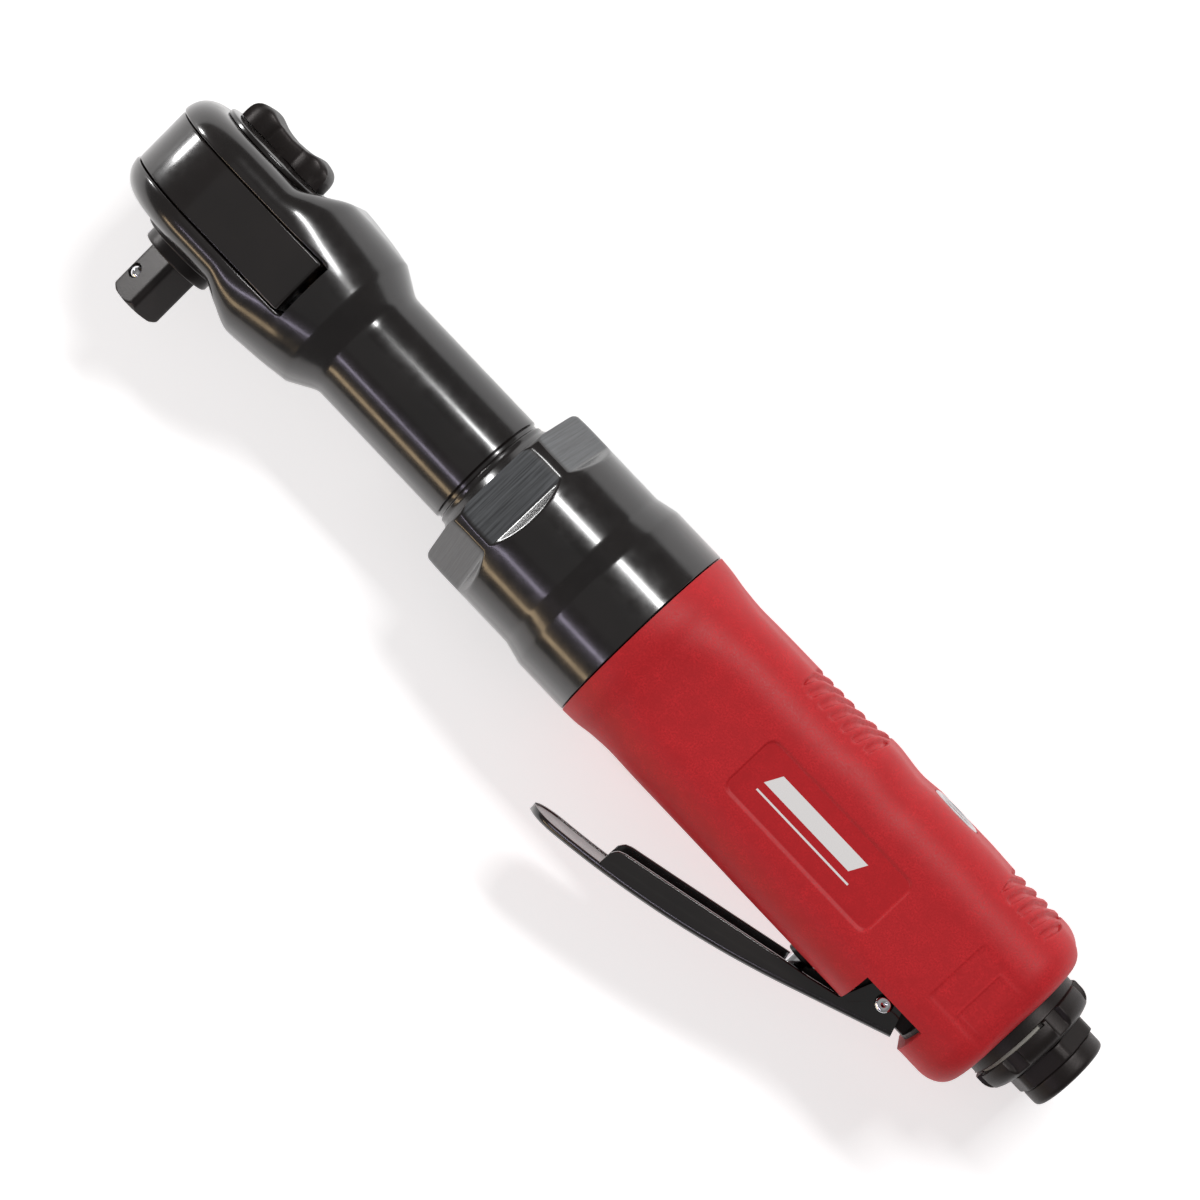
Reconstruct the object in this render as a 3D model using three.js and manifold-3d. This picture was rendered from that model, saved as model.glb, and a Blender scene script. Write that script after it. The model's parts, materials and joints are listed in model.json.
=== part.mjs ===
// A 3/8 inch square drive air ratchet, lying on its side. Millimetres, +Z up.
// The origin is the centre of the square drive's end face. X runs along the tool from the head to the
// air inlet, the drive and the lever point along -Y, and the label faces +Z.
// Every piece is drawn in the tool's own frame, which has the tool's axis as X and the drive's axis as Y.

import * as THREE from "three";
import { mergeVertices } from "three/addons/utils/BufferGeometryUtils.js";
import Module from "manifold-3d";

const wasm = await Module();
wasm.setup();

// ---------- driving dimensions ----------

const turning = 0.08; // radial clearance of a turning or sliding fit
const seated = 0.04; // radial clearance of a part seated in a bore
const meeting = 0.15; // gap between faces that meet

const driveEnd = 31; // tool axis to the end of the square drive
const drive = { across: 9.525, corner: 0.7, tip: 0.8, turn: 33, collarEnd: 17.9, ballDepth: 25 };

const head = { nose: 21.3, thick: 26.7, edge: 6.2, slot: 14, root: 28.3, cheekEnd: 10 };
const shoulder = { x: 20.5, half: 19.1, endX: 35.5, endHalf: 18, taperX: 42 };
const neck = { radius: 14.35, grooveX: 79, flareX: 81.5, flareEnd: 84.5, flareRadius: 16.5 };
const flange = { from: 88, to: 92.1, radius: 17.5 };

const ratchet = { teeth: 48, root: 14, tip: 13.1, swing: 3.9 };
const anvil = { journal: 8.5, body: 12.7, low: 6.2, top: 12.85 };
const bushing = { radius: 9.6, flange: 10.5, flangeEnd: 15 };
const cover = { radius: 14.3, from: 13.42, to: 14.9 };
const knob = { half: 12.1, lobe: 5.2, foot: 15.02, rise: 5.5, dip: 4.2, stem: 4, turn: 25 };
const pawl = { pinAt: 8.2, pin: 1.5, rim: 12, half: 5.2, rock: 5 };
const ball = { radius: 1.65, proud: 1.1 };

const crank = { throw: 1.7, pin: 3, pinFrom: 21.2, shaftFrom: 30.5, shaft: 8, plate: 14.6 };
const crankBushing = { radius: 4.4, from: 21.3, to: 28.2 };
const plate = { from: 87.6, to: 91.4 };
const bearing = { outer: 10.4, front: [46, 60], rear: [68, 80] };
const gear = { module: 0.7, sun: 12, planet: 15, ring: 42, from: 92.4, to: 99.6, backlash: 0.14 };
const planets = 3;
const planetPin = 1.75;

const motor = { cylinder: 16.6, bore: 12.9, offset: 1.35, rotor: 11.3, port: 1.5, from: 110.5, to: 148.4 };
const frontPlate = { from: 101.5, bearing: 9, shaft: 5 };
const rearPlate = { to: 157.2, bearing: 8, shaft: 4 };
const vanes = { count: 5, thick: 1.5, inner: 5.9, slack: 0.1 };

const nut = { from: 83.7, rim: 87.5, radius: 22.1, coneFrom: 108.8, coneTo: 113.9, rear: 23.3 };
const nutEnd = 127.2;
const flats = { count: 6, across: 39.4, to: 93.5, turn: 6.5 };
const thread = { from: 97.3, radius: 19.8 };

const barrel = { radius: 18.6, bore: 16.7, taperX: 232.4, end: 237.4, endRadius: 15.4 };
const jacket = { from: 127.5, end: 239.3 };
const label = { from: 162.2, to: 204.1, half: 7.25, floor: 19.5 };
const tag = { from: 228.8, to: 235.5, half: 6, floor: 19.55 };
const grip = { pitch: 3.25, rib: 1.5, half: 10, floor: 20.4, top: 21.4 };
const grips = [
  { from: 158.4, ribs: 6 },
  { from: 217, ribs: 4 },
];

const pivot = { x: 218.4, y: -15.7, pin: 2, pinHalf: 8.6, lug: 3.4 };
const lever = { half: 7.2, wall: 1.5, shoulderX: 157.3, hub: 5 };
const leverLine = { tip: [137.8, -43.3], bend: [172.5, -39.8], rear: [203, -28.1], end: [224.4, -20] };
const pocket = { from: 211, to: 227, flat: -12.8, slotFrom: 189 };

const valve = { x: 200, bore: 5.2, stem: 2.2, stemEnd: -26.5 };
const sleeve = { shoulder: -17.7, radius: 3.35, end: -23 };
const dial = { radius: 6.1, from: 18.9, to: 22.7, body: 4.9, depth: 9.8 };

const inletY = 1.4; // the inlet and the exhaust sit this far from the tool's axis, towards the knob
const inlet = { body: 8, bore: 4.2, from: 228, hexFrom: 248.3, hexTo: 252, end: 256.3 };
const inletHex = { across: 18.7, corner: 10.3, collar: 9.4, socket: 5.65, mouth: 5.95, depth: 10.8 };
const deflector = { ring: 13.9, radius: 14.5, groove: 13.4, bore: 12.8, from: 237.8, end: 248 };
const outletSlot = [242.3, 243.2];
const lobes = 7;
const airway = { y: 12, radius: 2.2 };
const exhaust = { z: 11.8, radius: 1.9 };
const exhausts = [-exhaust.z, exhaust.z].map((z) => [0, inletY, z]);

// ---------- shapes ----------

const radians = THREE.MathUtils.degToRad;
const facets = (radius) => (radius < 2.5 ? 12 : radius < 4.3 ? 16 : radius < 12.5 ? 24 : 32);
const directions = { x: [1, 0, 0], y: [0, 1, 0], z: [0, 0, 1] };

// A closed three.js geometry as a solid.
function solid(geometry) {
  const bare = new THREE.BufferGeometry().setAttribute("position", geometry.getAttribute("position"));
  if (geometry.index) bare.setIndex(geometry.index);
  const merged = mergeVertices(bare, 1e-4);
  const corners = merged.index.array;
  const kept = [];
  for (let i = 0; i < corners.length; i += 3) {
    const [a, b, c] = [corners[i], corners[i + 1], corners[i + 2]];
    if (a !== b && b !== c && c !== a) kept.push(a, b, c);
  }
  return new wasm.Manifold(
    new wasm.Mesh({
      numProp: 3,
      vertProperties: merged.attributes.position.array,
      triVerts: new Uint32Array(kept),
    }),
  );
}

const join = (first, ...others) => others.reduce((all, next) => all.add(next), first);
const cut = (first, ...others) => others.reduce((left, next) => left.subtract(next), first);
const common = (first, ...others) => others.reduce((both, next) => both.intersect(next), first);

// A closed profile of [station, radius] pairs, turned about an axis through the point `at`.
function turned(profile, { axis = "x", at = [0, 0, 0], count } = {}) {
  const next = (i) => profile[(i + 1) % profile.length];
  const area = profile.reduce((sum, [s, r], i) => sum + r * next(i)[0] - next(i)[1] * s, 0);
  const ordered = area > 0 ? profile : [...profile].reverse();
  const points = [...ordered, ordered[0]].map(([s, r]) => new THREE.Vector2(r, s));
  const widest = Math.max(...profile.map(([, r]) => r));
  const geometry = new THREE.LatheGeometry(points, count ?? facets(widest));
  const along = new THREE.Vector3(...(directions[axis] ?? axis)).normalize();
  geometry.applyQuaternion(
    new THREE.Quaternion().setFromUnitVectors(new THREE.Vector3(0, 1, 0), along),
  );
  return solid(geometry.translate(...at));
}

// A round rod or disc from one station to another, and a ring with a bore.
const rod = (radius, from, to, place) =>
  turned([[from, 0], [from, radius], [to, radius], [to, 0]], place);
const tube = (bore, radius, from, to, place) =>
  turned([[from, bore], [from, radius], [to, radius], [to, bore]], place);

// An outline of [a, b] points pushed along an axis: (x, y) along z, (x, z) along y, (y, z) along x.
function prism(outline, from, to, axis = "z") {
  const swapped = axis === "y" ? outline.map(([a, b]) => [b, a]) : outline;
  const shape = new THREE.Shape(swapped.map(([a, b]) => new THREE.Vector2(a, b)));
  const geometry = new THREE.ExtrudeGeometry(shape, { depth: to - from, bevelEnabled: false });
  geometry.translate(0, 0, from);
  const rows = {
    x: [0, 0, 1, 0, 1, 0, 0, 0, 0, 1, 0, 0, 0, 0, 0, 1],
    y: [0, 1, 0, 0, 0, 0, 1, 0, 1, 0, 0, 0, 0, 0, 0, 1],
    z: [1, 0, 0, 0, 0, 1, 0, 0, 0, 0, 1, 0, 0, 0, 0, 1],
  };
  return solid(geometry.applyMatrix4(new THREE.Matrix4().set(...rows[axis])));
}

function block([x0, x1], [y0, y1], [z0, z1]) {
  const geometry = new THREE.BoxGeometry(x1 - x0, y1 - y0, z1 - z0);
  return solid(geometry.translate((x0 + x1) / 2, (y0 + y1) / 2, (z0 + z1) / 2));
}

// Points of an arc about [a, b], angles in degrees.
function arc([a, b], radius, from, to, pieces) {
  return Array.from({ length: pieces + 1 }, (_, i) => {
    const angle = radians(from + ((to - from) * i) / pieces);
    return [a + radius * Math.cos(angle), b + radius * Math.sin(angle)];
  });
}

// A skin through rounded rectangles that stand across the X axis: half sizes a and b, corner radius r,
// centre at y. The two end sections are closed flat.
function lofted(sections, perCorner = 6) {
  const rings = sections.map(({ x, y = 0, a, b, r }) => {
    const corners = [[1, 1, 0], [-1, 1, 90], [-1, -1, 180], [1, -1, 270]];
    return corners.flatMap(([sy, sz, start]) =>
      arc([y + sy * (a - r), sz * (b - r)], r, start, start + 90, perCorner).map((p) => [x, ...p]),
    );
  });
  const count = rings[0].length;
  const last = (rings.length - 1) * count;
  const middles = [sections[0], sections.at(-1)].map(({ x, y = 0 }) => [x, y, 0]);
  const positions = [...rings.flat(), ...middles].flat();
  const triangles = [];
  for (let k = 0; k < count; k++) {
    const n = (k + 1) % count;
    for (let i = 0; i < last; i += count) {
      triangles.push(i + k, i + n, i + count + n, i + k, i + count + n, i + count + k);
    }
    triangles.push(last + count, n, k, last + count + 1, last + k, last + n);
  }
  const geometry = new THREE.BufferGeometry();
  geometry.setAttribute("position", new THREE.Float32BufferAttribute(positions, 3));
  geometry.setIndex(triangles);
  return solid(geometry);
}

// A round wire coiled about an axis from one station to another.
function coil(radius, wire, turns, from, to, { axis = "y", at = [0, 0, 0], sides = 4, perTurn = 8 }) {
  class Helix extends THREE.Curve {
    getPoint(t) {
      const angle = 2 * Math.PI * turns * t;
      return new THREE.Vector3(radius * Math.cos(angle), from + (to - from) * t, radius * Math.sin(angle));
    }
  }
  const corners = arc([0, 0], wire, 0, 360, sides).slice(1);
  const section = new THREE.Shape(corners.map((p) => new THREE.Vector2(...p)));
  const geometry = new THREE.ExtrudeGeometry(section, { steps: turns * perTurn, extrudePath: new Helix() });
  const along = new THREE.Vector3(...(directions[axis] ?? axis)).normalize();
  geometry.applyQuaternion(new THREE.Quaternion().setFromUnitVectors(new THREE.Vector3(0, 1, 0), along));
  return solid(geometry.translate(...at));
}

// Outline of an involute gear about the origin, with one tooth centred on the first axis.
// A negative backlash widens the tooth, which gives the opening of a ring gear.
function gearOutline(teeth, addendum, dedendum, backlash) {
  const pitch = (gear.module * teeth) / 2;
  const pressure = radians(20);
  const base = pitch * Math.cos(pressure);
  const involute = (angle) => Math.tan(angle) - angle;
  const halfTooth = Math.PI / (2 * teeth) - backlash / (2 * pitch) + involute(pressure);
  const root = pitch - dedendum;
  const tip = pitch + addendum;
  const radii = [root, tip];
  const halves = radii.map((r) => halfTooth - involute(Math.acos(Math.min(1, base / r))));
  const flank = radii.map((r, i) => [r, halves[i]]);
  return Array.from({ length: teeth }, (_, i) => (2 * Math.PI * i) / teeth).flatMap((middle) => [
    ...flank.map(([r, half]) => [r * Math.cos(middle - half), r * Math.sin(middle - half)]),
    ...[...flank].reverse().map(([r, half]) => [r * Math.cos(middle + half), r * Math.sin(middle + half)]),
  ]);
}

function turnedOutline(outline, angle, [a, b] = [0, 0]) {
  const [c, s] = [Math.cos(angle), Math.sin(angle)];
  return outline.map(([u, v]) => [a + u * c - v * s, b + u * s + v * c]);
}

// ---------- finishes ----------

const finish = (color, roughness, metalness) =>
  new THREE.MeshStandardMaterial({ color, roughness, metalness });
const blackEnamel = finish("#231f1e", 0.25, 0.4);
const blackSteel = finish("#2b2927", 0.45, 0.7);
const steel = finish("#8d8f92", 0.35, 0.9);
const brightSteel = finish("#d2d3d5", 0.15, 1);
const bronze = finish("#a77b45", 0.4, 0.9);
const redGrip = finish("#c1303a", 0.6, 0);
const alloy = finish("#9b9da0", 0.45, 0.8);
const composite = finish("#6a4a2f", 0.7, 0);
const rubber = finish("#1c1c1c", 0.8, 0);
const felt = finish("#b9b5a8", 0.95, 0);
const zinc = finish("#b6b8ba", 0.3, 0.9);

const tool = new THREE.Group();
tool.position.set(0, driveEnd, 0);
const airRatchet = new THREE.Group();
airRatchet.add(tool);

// A named piece of the tool, made of one solid.
function piece(name, material, body) {
  const { vertProperties, triVerts, numProp } = body.getMesh();
  const positions = new Float32Array((vertProperties.length / numProp) * 3);
  for (let i = 0; i < positions.length / 3; i++) {
    positions.set(vertProperties.subarray(i * numProp, i * numProp + 3), i * 3);
  }
  const geometry = new THREE.BufferGeometry();
  geometry.setAttribute("position", new THREE.BufferAttribute(positions, 3));
  geometry.setIndex(new THREE.BufferAttribute(triVerts, 1));
  geometry.computeVertexNormals();
  const mesh = new THREE.Mesh(geometry, material);
  mesh.name = name;
  tool.add(mesh);
}

// ---------- ratchet head ----------

const cheek = head.thick / 2;
const slotHalf = head.slot / 2;

// The nose is a disc with rounded rims about the drive's axis. Behind it the cheeks run straight back,
// and swell into a round shoulder that drops to the neck.
function ratchetHousing() {
  const perCorner = 7;
  const rim = (side, from, to) =>
    arc([side * (cheek - head.edge), head.nose - head.edge], head.edge, from, to, 4);
  const nose = turned([[-cheek, 0], ...rim(-1, 180, 90), ...rim(1, 90, 0), [cheek, 0]], { axis: "y" });
  const around = head.nose + 1;
  const noseHalf = common(nose, block([-around, 0.01], [-cheek - 1, cheek + 1], [-around, around]));
  const body = lofted([
    { x: 0, a: cheek, b: head.nose, r: head.edge },
    { x: head.cheekEnd, a: cheek, b: head.nose, r: head.edge },
    { x: (head.cheekEnd + shoulder.x) / 2, a: (cheek + shoulder.half) / 2, b: 21.1, r: 9.5 },
    { x: shoulder.x, a: shoulder.half, b: 20.6, r: 15 },
    { x: head.root, a: (shoulder.half + shoulder.endHalf) / 2, b: 19.6, r: 17 },
    { x: shoulder.endX, a: shoulder.endHalf, b: shoulder.endHalf, r: shoulder.endHalf },
  ], perCorner);
  const tailProfile = [
    [shoulder.endX, 0],
    [shoulder.endX, shoulder.endHalf],
    [shoulder.taperX, neck.radius],
    [neck.grooveX, neck.radius],
    [neck.grooveX + 0.4, neck.radius - 0.5],
    [neck.grooveX + 1.2, neck.radius - 0.5],
    [neck.grooveX + 1.6, neck.radius],
    [neck.flareX, neck.radius],
    [neck.flareEnd, neck.flareRadius],
    [flange.from, neck.flareRadius],
    [flange.from, flange.radius],
    [flange.to, flange.radius],
    [flange.to, 0],
  ];
  const tail = turned(tailProfile, { count: 4 * perCorner });
  return cut(
    join(noseHalf, body, tail),
    block([-head.nose - 2, head.root], [-slotHalf, slotHalf], [-head.nose - 2, head.nose + 2]),
    rod(bushing.flange + seated, -head.nose, -cheek, { axis: "y" }),
    rod(bushing.radius + seated, -cheek - 1, 0, { axis: "y" }),
    rod(anvil.body + turning, 0, cheek + 1, { axis: "y" }),
    rod(cover.radius + meeting, cheek, head.nose, { axis: "y" }),
    rod(crank.shaft + 0.4, head.root - 1, bearing.front[0] + 1),
    rod(bearing.outer + seated, bearing.front[0] - meeting, flange.to + 1),
    rod(crank.plate + 0.5, plate.from - 0.6, flange.to + 1),
  );
}
piece("ratchet_housing", blackEnamel, ratchetHousing());

// The yoke swings about the drive's axis. Its bore carries the ratchet teeth, and the fork at its rear
// straddles the bushing on the crank pin, with room for the pin's whole orbit at any swing.
function ratchetYoke() {
  const half = slotHalf - 0.2;
  const round = head.nose - 0.3;
  const swingRoom = round * Math.sin(radians(ratchet.swing));
  const rear = head.root - swingRoom - 0.1;
  const outline = [...arc([0, 0], round, 90, 270, 24), [rear, -round], [rear, round]];
  const toothAngle = 360 / ratchet.teeth;
  const teeth = Array.from({ length: 2 * ratchet.teeth }, (_, i) => {
    const angle = radians((i * toothAngle) / 2);
    const radius = i % 2 ? ratchet.root : ratchet.tip;
    return [radius * Math.cos(angle), radius * Math.sin(angle)];
  });
  const forkHalf = crankBushing.radius + crank.throw + rear * Math.sin(radians(ratchet.swing)) + 0.2;
  return cut(
    prism(outline, -half, half, "y"),
    prism(teeth, -half - 1, half + 1, "y"),
    block([crank.pinFrom - 1.4, head.root + 1], [-half - 1, half + 1], [-forkHalf, forkHalf]),
  );
}
piece("ratchet_yoke", blackSteel, ratchetYoke());

// Outline of the square drive, with cut corners, turned about its own axis.
function squareOutline() {
  const h = drive.across / 2;
  const c = h - drive.corner;
  const corners = [[h, -c], [h, c], [c, h], [-c, h], [-h, c], [-h, -c], [-c, -h], [c, -h]];
  return turnedOutline(corners, radians(drive.turn));
}

// The detent ball sits in the square's face that looks towards the nose.
const ballAxis = [-Math.cos(radians(drive.turn)), 0, Math.sin(radians(drive.turn))];
const stemFoot = -3;
const ballOut = drive.across / 2 + ball.proud - ball.radius;
const onBallAxis = { axis: ballAxis, at: [0, -drive.ballDepth, 0] };

// The pawl lies on the nose side of the anvil, serrated at both ends to the ring's pitch. It is rocked
// about its pin, so that one end leans out towards the ring.
function pawlBody() {
  const step = 180 / ratchet.teeth;
  const rim = Array.from({ length: 21 }, (_, k) => {
    const angle = (k - 10) * step;
    const radius = pawl.rim + (Math.abs(angle) > 18 && k % 2 ? 0.35 : 0);
    return [-radius * Math.cos(radians(angle)), radius * Math.sin(radians(angle))];
  });
  const back = [[-8.3, 7.2], [-6.4, 3.4], [-5.9, 0], [-6.4, -3.4], [-8.3, -7.2]];
  const outline = [...rim, ...back].map(([x, z]) => [x + pawl.pinAt, z]);
  const rocked = turnedOutline(outline, radians(-pawl.rock), [-pawl.pinAt, 0]);
  return cut(
    prism(rocked, -pawl.half, pawl.half, "y"),
    rod(pawl.pin + turning, -pawl.half - 1, pawl.half + 1, { axis: "y", at: [-pawl.pinAt, 0, 0] }),
  );
}

// Square drive, collar, journal and body in one, with the pockets for the pawl, its pin, the knob's
// stem and the detent ball.
function anvilBody() {
  const square = prism(squareOutline(), -driveEnd, -drive.collarEnd + 1, "y");
  const tip = turned(
    [
      [-driveEnd, 0],
      [-driveEnd, 5.1],
      [-driveEnd + drive.tip, 6.2],
      [-drive.collarEnd + 2, 7],
      [-drive.collarEnd + 2, 0],
    ],
    { axis: "y" },
  );
  const spindle = turned(
    [
      [-drive.collarEnd, 0],
      [-drive.collarEnd, anvil.journal - 0.5],
      [-drive.collarEnd + 0.5, anvil.journal],
      [-anvil.low, anvil.journal],
      [-anvil.low, anvil.body],
      [anvil.top, anvil.body],
      [anvil.top, 0],
    ],
    { axis: "y" },
  );
  const pocketHalf = pawl.half + 0.4;
  const pawlPocket = [[-5, -3.9], [-7.2, -8.6], [-14, -9.6], [-14, 9.6], [-7.2, 8.6], [-5, 3.9]];
  const pinHole = { axis: "y", at: [-pawl.pinAt, 0, 0] };
  return cut(
    join(common(square, tip), spindle),
    rod(knob.stem + turning, stemFoot - 0.5, anvil.top + 1, { axis: "y" }),
    prism(pawlPocket, -pocketHalf, pocketHalf, "y"),
    block([-6.5, -2.5], [-1.8, 1.8], [-4.2, 4.2]),
    rod(pawl.pin + seated, -6, anvil.top + 1, pinHole),
    rod(ball.radius + turning, detent.springFrom - meeting, drive.across, onBallAxis),
  );
}

const detent = { springFrom: -1.4, springTo: ballOut - ball.radius - 0.1 };
piece("anvil", blackSteel, anvilBody());
piece("pawl", steel, pawlBody());
piece("pawl_pin", steel, rod(pawl.pin, -5.9, 9, { axis: "y", at: [-pawl.pinAt, 0, 0] }));

const ballShape = new THREE.SphereGeometry(ball.radius, 16, 10);
ballShape.applyQuaternion(
  new THREE.Quaternion().setFromUnitVectors(new THREE.Vector3(0, 1, 0), new THREE.Vector3(...ballAxis)),
);
ballShape.translate(ballAxis[0] * ballOut, -drive.ballDepth, ballAxis[2] * ballOut);
piece("drive_detent_ball", brightSteel, solid(ballShape));
piece(
  "drive_detent_spring",
  steel,
  coil(ball.radius - 0.4, 0.25, 4, detent.springFrom + 0.3, detent.springTo - 0.3, onBallAxis),
);

piece(
  "anvil_bushing",
  blackSteel,
  join(
    tube(anvil.journal + turning, bushing.radius, -cheek - 0.05, -slotHalf - 0.1, { axis: "y" }),
    tube(anvil.journal + turning, bushing.flange, -bushing.flangeEnd, -cheek - 0.05, { axis: "y" }),
  ),
);
piece(
  "anvil_thrust_washer",
  bronze,
  tube(anvil.journal + 0.2, anvil.body - 0.2, -slotHalf + 0.1, -anvil.low - 0.1, { axis: "y" }),
);
piece(
  "anvil_wave_washer",
  steel,
  tube(knob.stem + 1, anvil.body - 0.4, anvil.top + 0.1, cover.from - 0.1, { axis: "y" }),
);

// The plate that closes the upper cheek's bore, with a rounded rim.
piece(
  "bore_cover",
  blackSteel,
  turned(
    [
      [cover.from, knob.stem + turning],
      [cover.from, cover.radius],
      [cover.to - 0.8, cover.radius],
      [cover.to, cover.radius - 1.2],
      [cover.to, knob.stem + turning],
    ],
    { axis: "y" },
  ),
);

// The reversing knob: two round lobes joined by a pinched waist, higher at the lobes than between
// them, on a stem that reaches down into the anvil.
const plungerTurn = radians(180 + knob.turn);
const plungerAxis = [Math.cos(plungerTurn), 0, Math.sin(plungerTurn)];
const plunger = { radius: 1.2, from: 1.5, to: 5.5, stroke: 0.6 };

function reverseKnob() {
  const lobeX = knob.half - knob.lobe;
  const plan = [
    ...arc([lobeX, 0], knob.lobe, -125, 125, 12),
    ...arc([-lobeX, 0], knob.lobe, 55, 305, 12),
  ];
  const stations = Array.from({ length: 25 }, (_, i) => -knob.half + (i * knob.half) / 12);
  const lobeRise = (x) => Math.exp(-(((Math.abs(x) - 8) / 3) ** 2));
  const end = (x) => Math.sqrt(Math.max(0, 1 - (Math.max(0, Math.abs(x) - 9) / 3.4) ** 2));
  const height = (x) => (knob.dip + (knob.rise - knob.dip) * lobeRise(x)) * (0.45 + 0.55 * end(x));
  const profile = [
    [-knob.half, knob.foot],
    [knob.half, knob.foot],
    ...stations.reverse().map((x) => [x, knob.foot + height(x)]),
  ];
  const wings = common(
    prism(plan, knob.foot, knob.foot + knob.rise + 1, "y"),
    prism(profile, -knob.lobe - 1, knob.lobe + 1, "z"),
  );
  return cut(
    join(wings, rod(knob.stem, stemFoot, knob.foot + 0.5, { axis: "y" })),
    rod(plunger.radius + turning, -knob.stem + 1.5, knob.stem + 1, { axis: plungerAxis }),
  );
}
piece("reverse_knob", blackSteel, reverseKnob());
piece("pawl_plunger", steel, rod(plunger.radius, plunger.from, plunger.to, { axis: plungerAxis }));
piece(
  "pawl_spring",
  steel,
  coil(0.8, 0.2, 4, -knob.stem + 2, plunger.from - plunger.stroke - 0.3, { axis: plungerAxis }),
);

// ---------- crank and planet gears ----------

const orbit = (gear.module * (gear.sun + gear.planet)) / 2;
const planetAt = (i) => {
  const angle = (2 * Math.PI * i) / planets;
  return { angle, at: [0, orbit * Math.cos(angle), orbit * Math.sin(angle)] };
};
const planetNumbers = Array.from({ length: planets }, (_, i) => i);
const onCrankPin = { at: [0, crank.throw, 0] };

piece(
  "crankshaft",
  steel,
  cut(
    join(
      rod(crank.pin, crank.pinFrom, crank.shaftFrom + 0.5, onCrankPin),
      turned([
        [crank.shaftFrom, 0],
        [crank.shaftFrom, crank.shaft - 0.6],
        [crank.shaftFrom + 0.6, crank.shaft],
        [plate.from - 0.5, crank.shaft],
        [plate.from - 0.5, crank.shaft + 1.2],
        [plate.from, crank.shaft + 1.2],
        [plate.from, crank.plate],
        [plate.to, crank.plate],
        [plate.to, 0],
      ]),
    ),
    ...planetNumbers.map((i) => rod(planetPin + seated, plate.from - 1, plate.to + 1, planetAt(i))),
  ),
);
piece(
  "crank_bushing",
  bronze,
  tube(crank.pin + turning, crankBushing.radius, crankBushing.from, crankBushing.to, onCrankPin),
);
piece("front_needle_bearing", steel, tube(crank.shaft + turning, bearing.outer, ...bearing.front));
piece("rear_needle_bearing", steel, tube(crank.shaft + turning, bearing.outer, ...bearing.rear));
piece(
  "bearing_spacer",
  steel,
  tube(crank.shaft + 0.6, bearing.outer - 0.1, bearing.front[1] + meeting, bearing.rear[0] - meeting),
);

const addendum = 0.85 * gear.module;
const dedendum = 1.15 * gear.module;
const sunOutline = gearOutline(gear.sun, addendum, dedendum, gear.backlash);
const planetOutline = gearOutline(gear.planet, addendum, dedendum, gear.backlash);
const ringOpening = gearOutline(gear.ring, dedendum, addendum, -gear.backlash);
const ringEnd = gear.to + 1.6;

for (const i of planetNumbers) {
  const { angle, at } = planetAt(i);
  const outline = turnedOutline(planetOutline, angle, at.slice(1));
  const bore = rod(planetPin + turning, gear.from - 1, gear.to + 1, { at });
  piece(`planet_gear_${i + 1}`, steel, cut(prism(outline, gear.from, gear.to, "x"), bore));
  piece(`planet_pin_${i + 1}`, brightSteel, rod(planetPin, plate.from + 0.2, gear.to + 0.3, { at }));
}

piece(
  "ring_gear",
  steel,
  cut(
    turned([
      [flange.to + meeting, 0],
      [flange.to + meeting, flange.radius],
      [thread.from - meeting, flange.radius],
      [thread.from - meeting, motor.cylinder],
      [ringEnd, motor.cylinder],
      [ringEnd, 0],
    ]),
    prism(ringOpening, flange.to, ringEnd + 1, "x"),
  ),
);
const sunTip = (gear.module * gear.sun) / 2 + addendum;
piece("planet_washer", bronze, tube(sunTip + 0.4, 13.9, gear.to + 0.5, gear.to + 1.1));

// ---------- air motor ----------

const rotorFrom = motor.from + 0.2;
const rotorTo = motor.to - 0.2;
const vaneOuter = motor.rotor - 0.1;

// Rotor with its pinion, both shafts and a slot for each vane.
function rotorBody() {
  const slots = Array.from({ length: vanes.count }, (_, i) => {
    const half = vanes.thick / 2 + vanes.slack;
    const floor = vanes.inner - 0.3;
    const mouth = motor.rotor + 1;
    const outline = [[floor, -half], [mouth, -half], [mouth, half], [floor, half]];
    return prism(turnedOutline(outline, (2 * Math.PI * i) / vanes.count), rotorFrom - 1, rotorTo + 1, "x");
  });
  const body = turned([
    [frontPlate.from, 0],
    [frontPlate.from, frontPlate.shaft],
    [rotorFrom, frontPlate.shaft],
    [rotorFrom, motor.rotor],
    [rotorTo, motor.rotor],
    [rotorTo, rearPlate.shaft],
    [rearPlate.to - 0.8, rearPlate.shaft],
    [rearPlate.to - 0.8, 0],
  ]);
  return join(cut(body, ...slots), prism(sunOutline, gear.from + 0.8, frontPlate.from + 0.2, "x"));
}
piece("rotor", steel, rotorBody());
for (let i = 0; i < vanes.count; i++) {
  const half = vanes.thick / 2;
  const outline = [[vanes.inner, -half], [vaneOuter, -half], [vaneOuter, half], [vanes.inner, half]];
  const turnedVane = turnedOutline(outline, (2 * Math.PI * i) / vanes.count);
  piece(`vane_${i + 1}`, composite, prism(turnedVane, rotorFrom + 0.1, rotorTo - 0.1, "x"));
}

// The cylinder's bore is set off the rotor's axis, and its ports open on two flats.
const dowel = { radius: 1.2, y: -14.6 };
const onDowel = { at: [0, dowel.y, 0] };
const ports = Array.from({ length: 4 }, (_, i) => motor.from + 8 + 7 * i);
piece(
  "motor_cylinder",
  steel,
  cut(
    rod(motor.cylinder, motor.from, motor.to),
    rod(motor.bore, motor.from - 1, motor.to + 1, { at: [0, motor.offset, 0] }),
    rod(dowel.radius + seated, motor.from - 1, motor.to + 1, onDowel),
    ...[-1, 1].map((side) =>
      block([motor.from + 3, motor.to + 1], [-9, 9], side > 0 ? [15.4, 20] : [-20, -15.4]),
    ),
    ...ports.map((x) => rod(motor.port, -20, 20, { axis: "z", at: [x, 0, 0] })),
  ),
);

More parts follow.
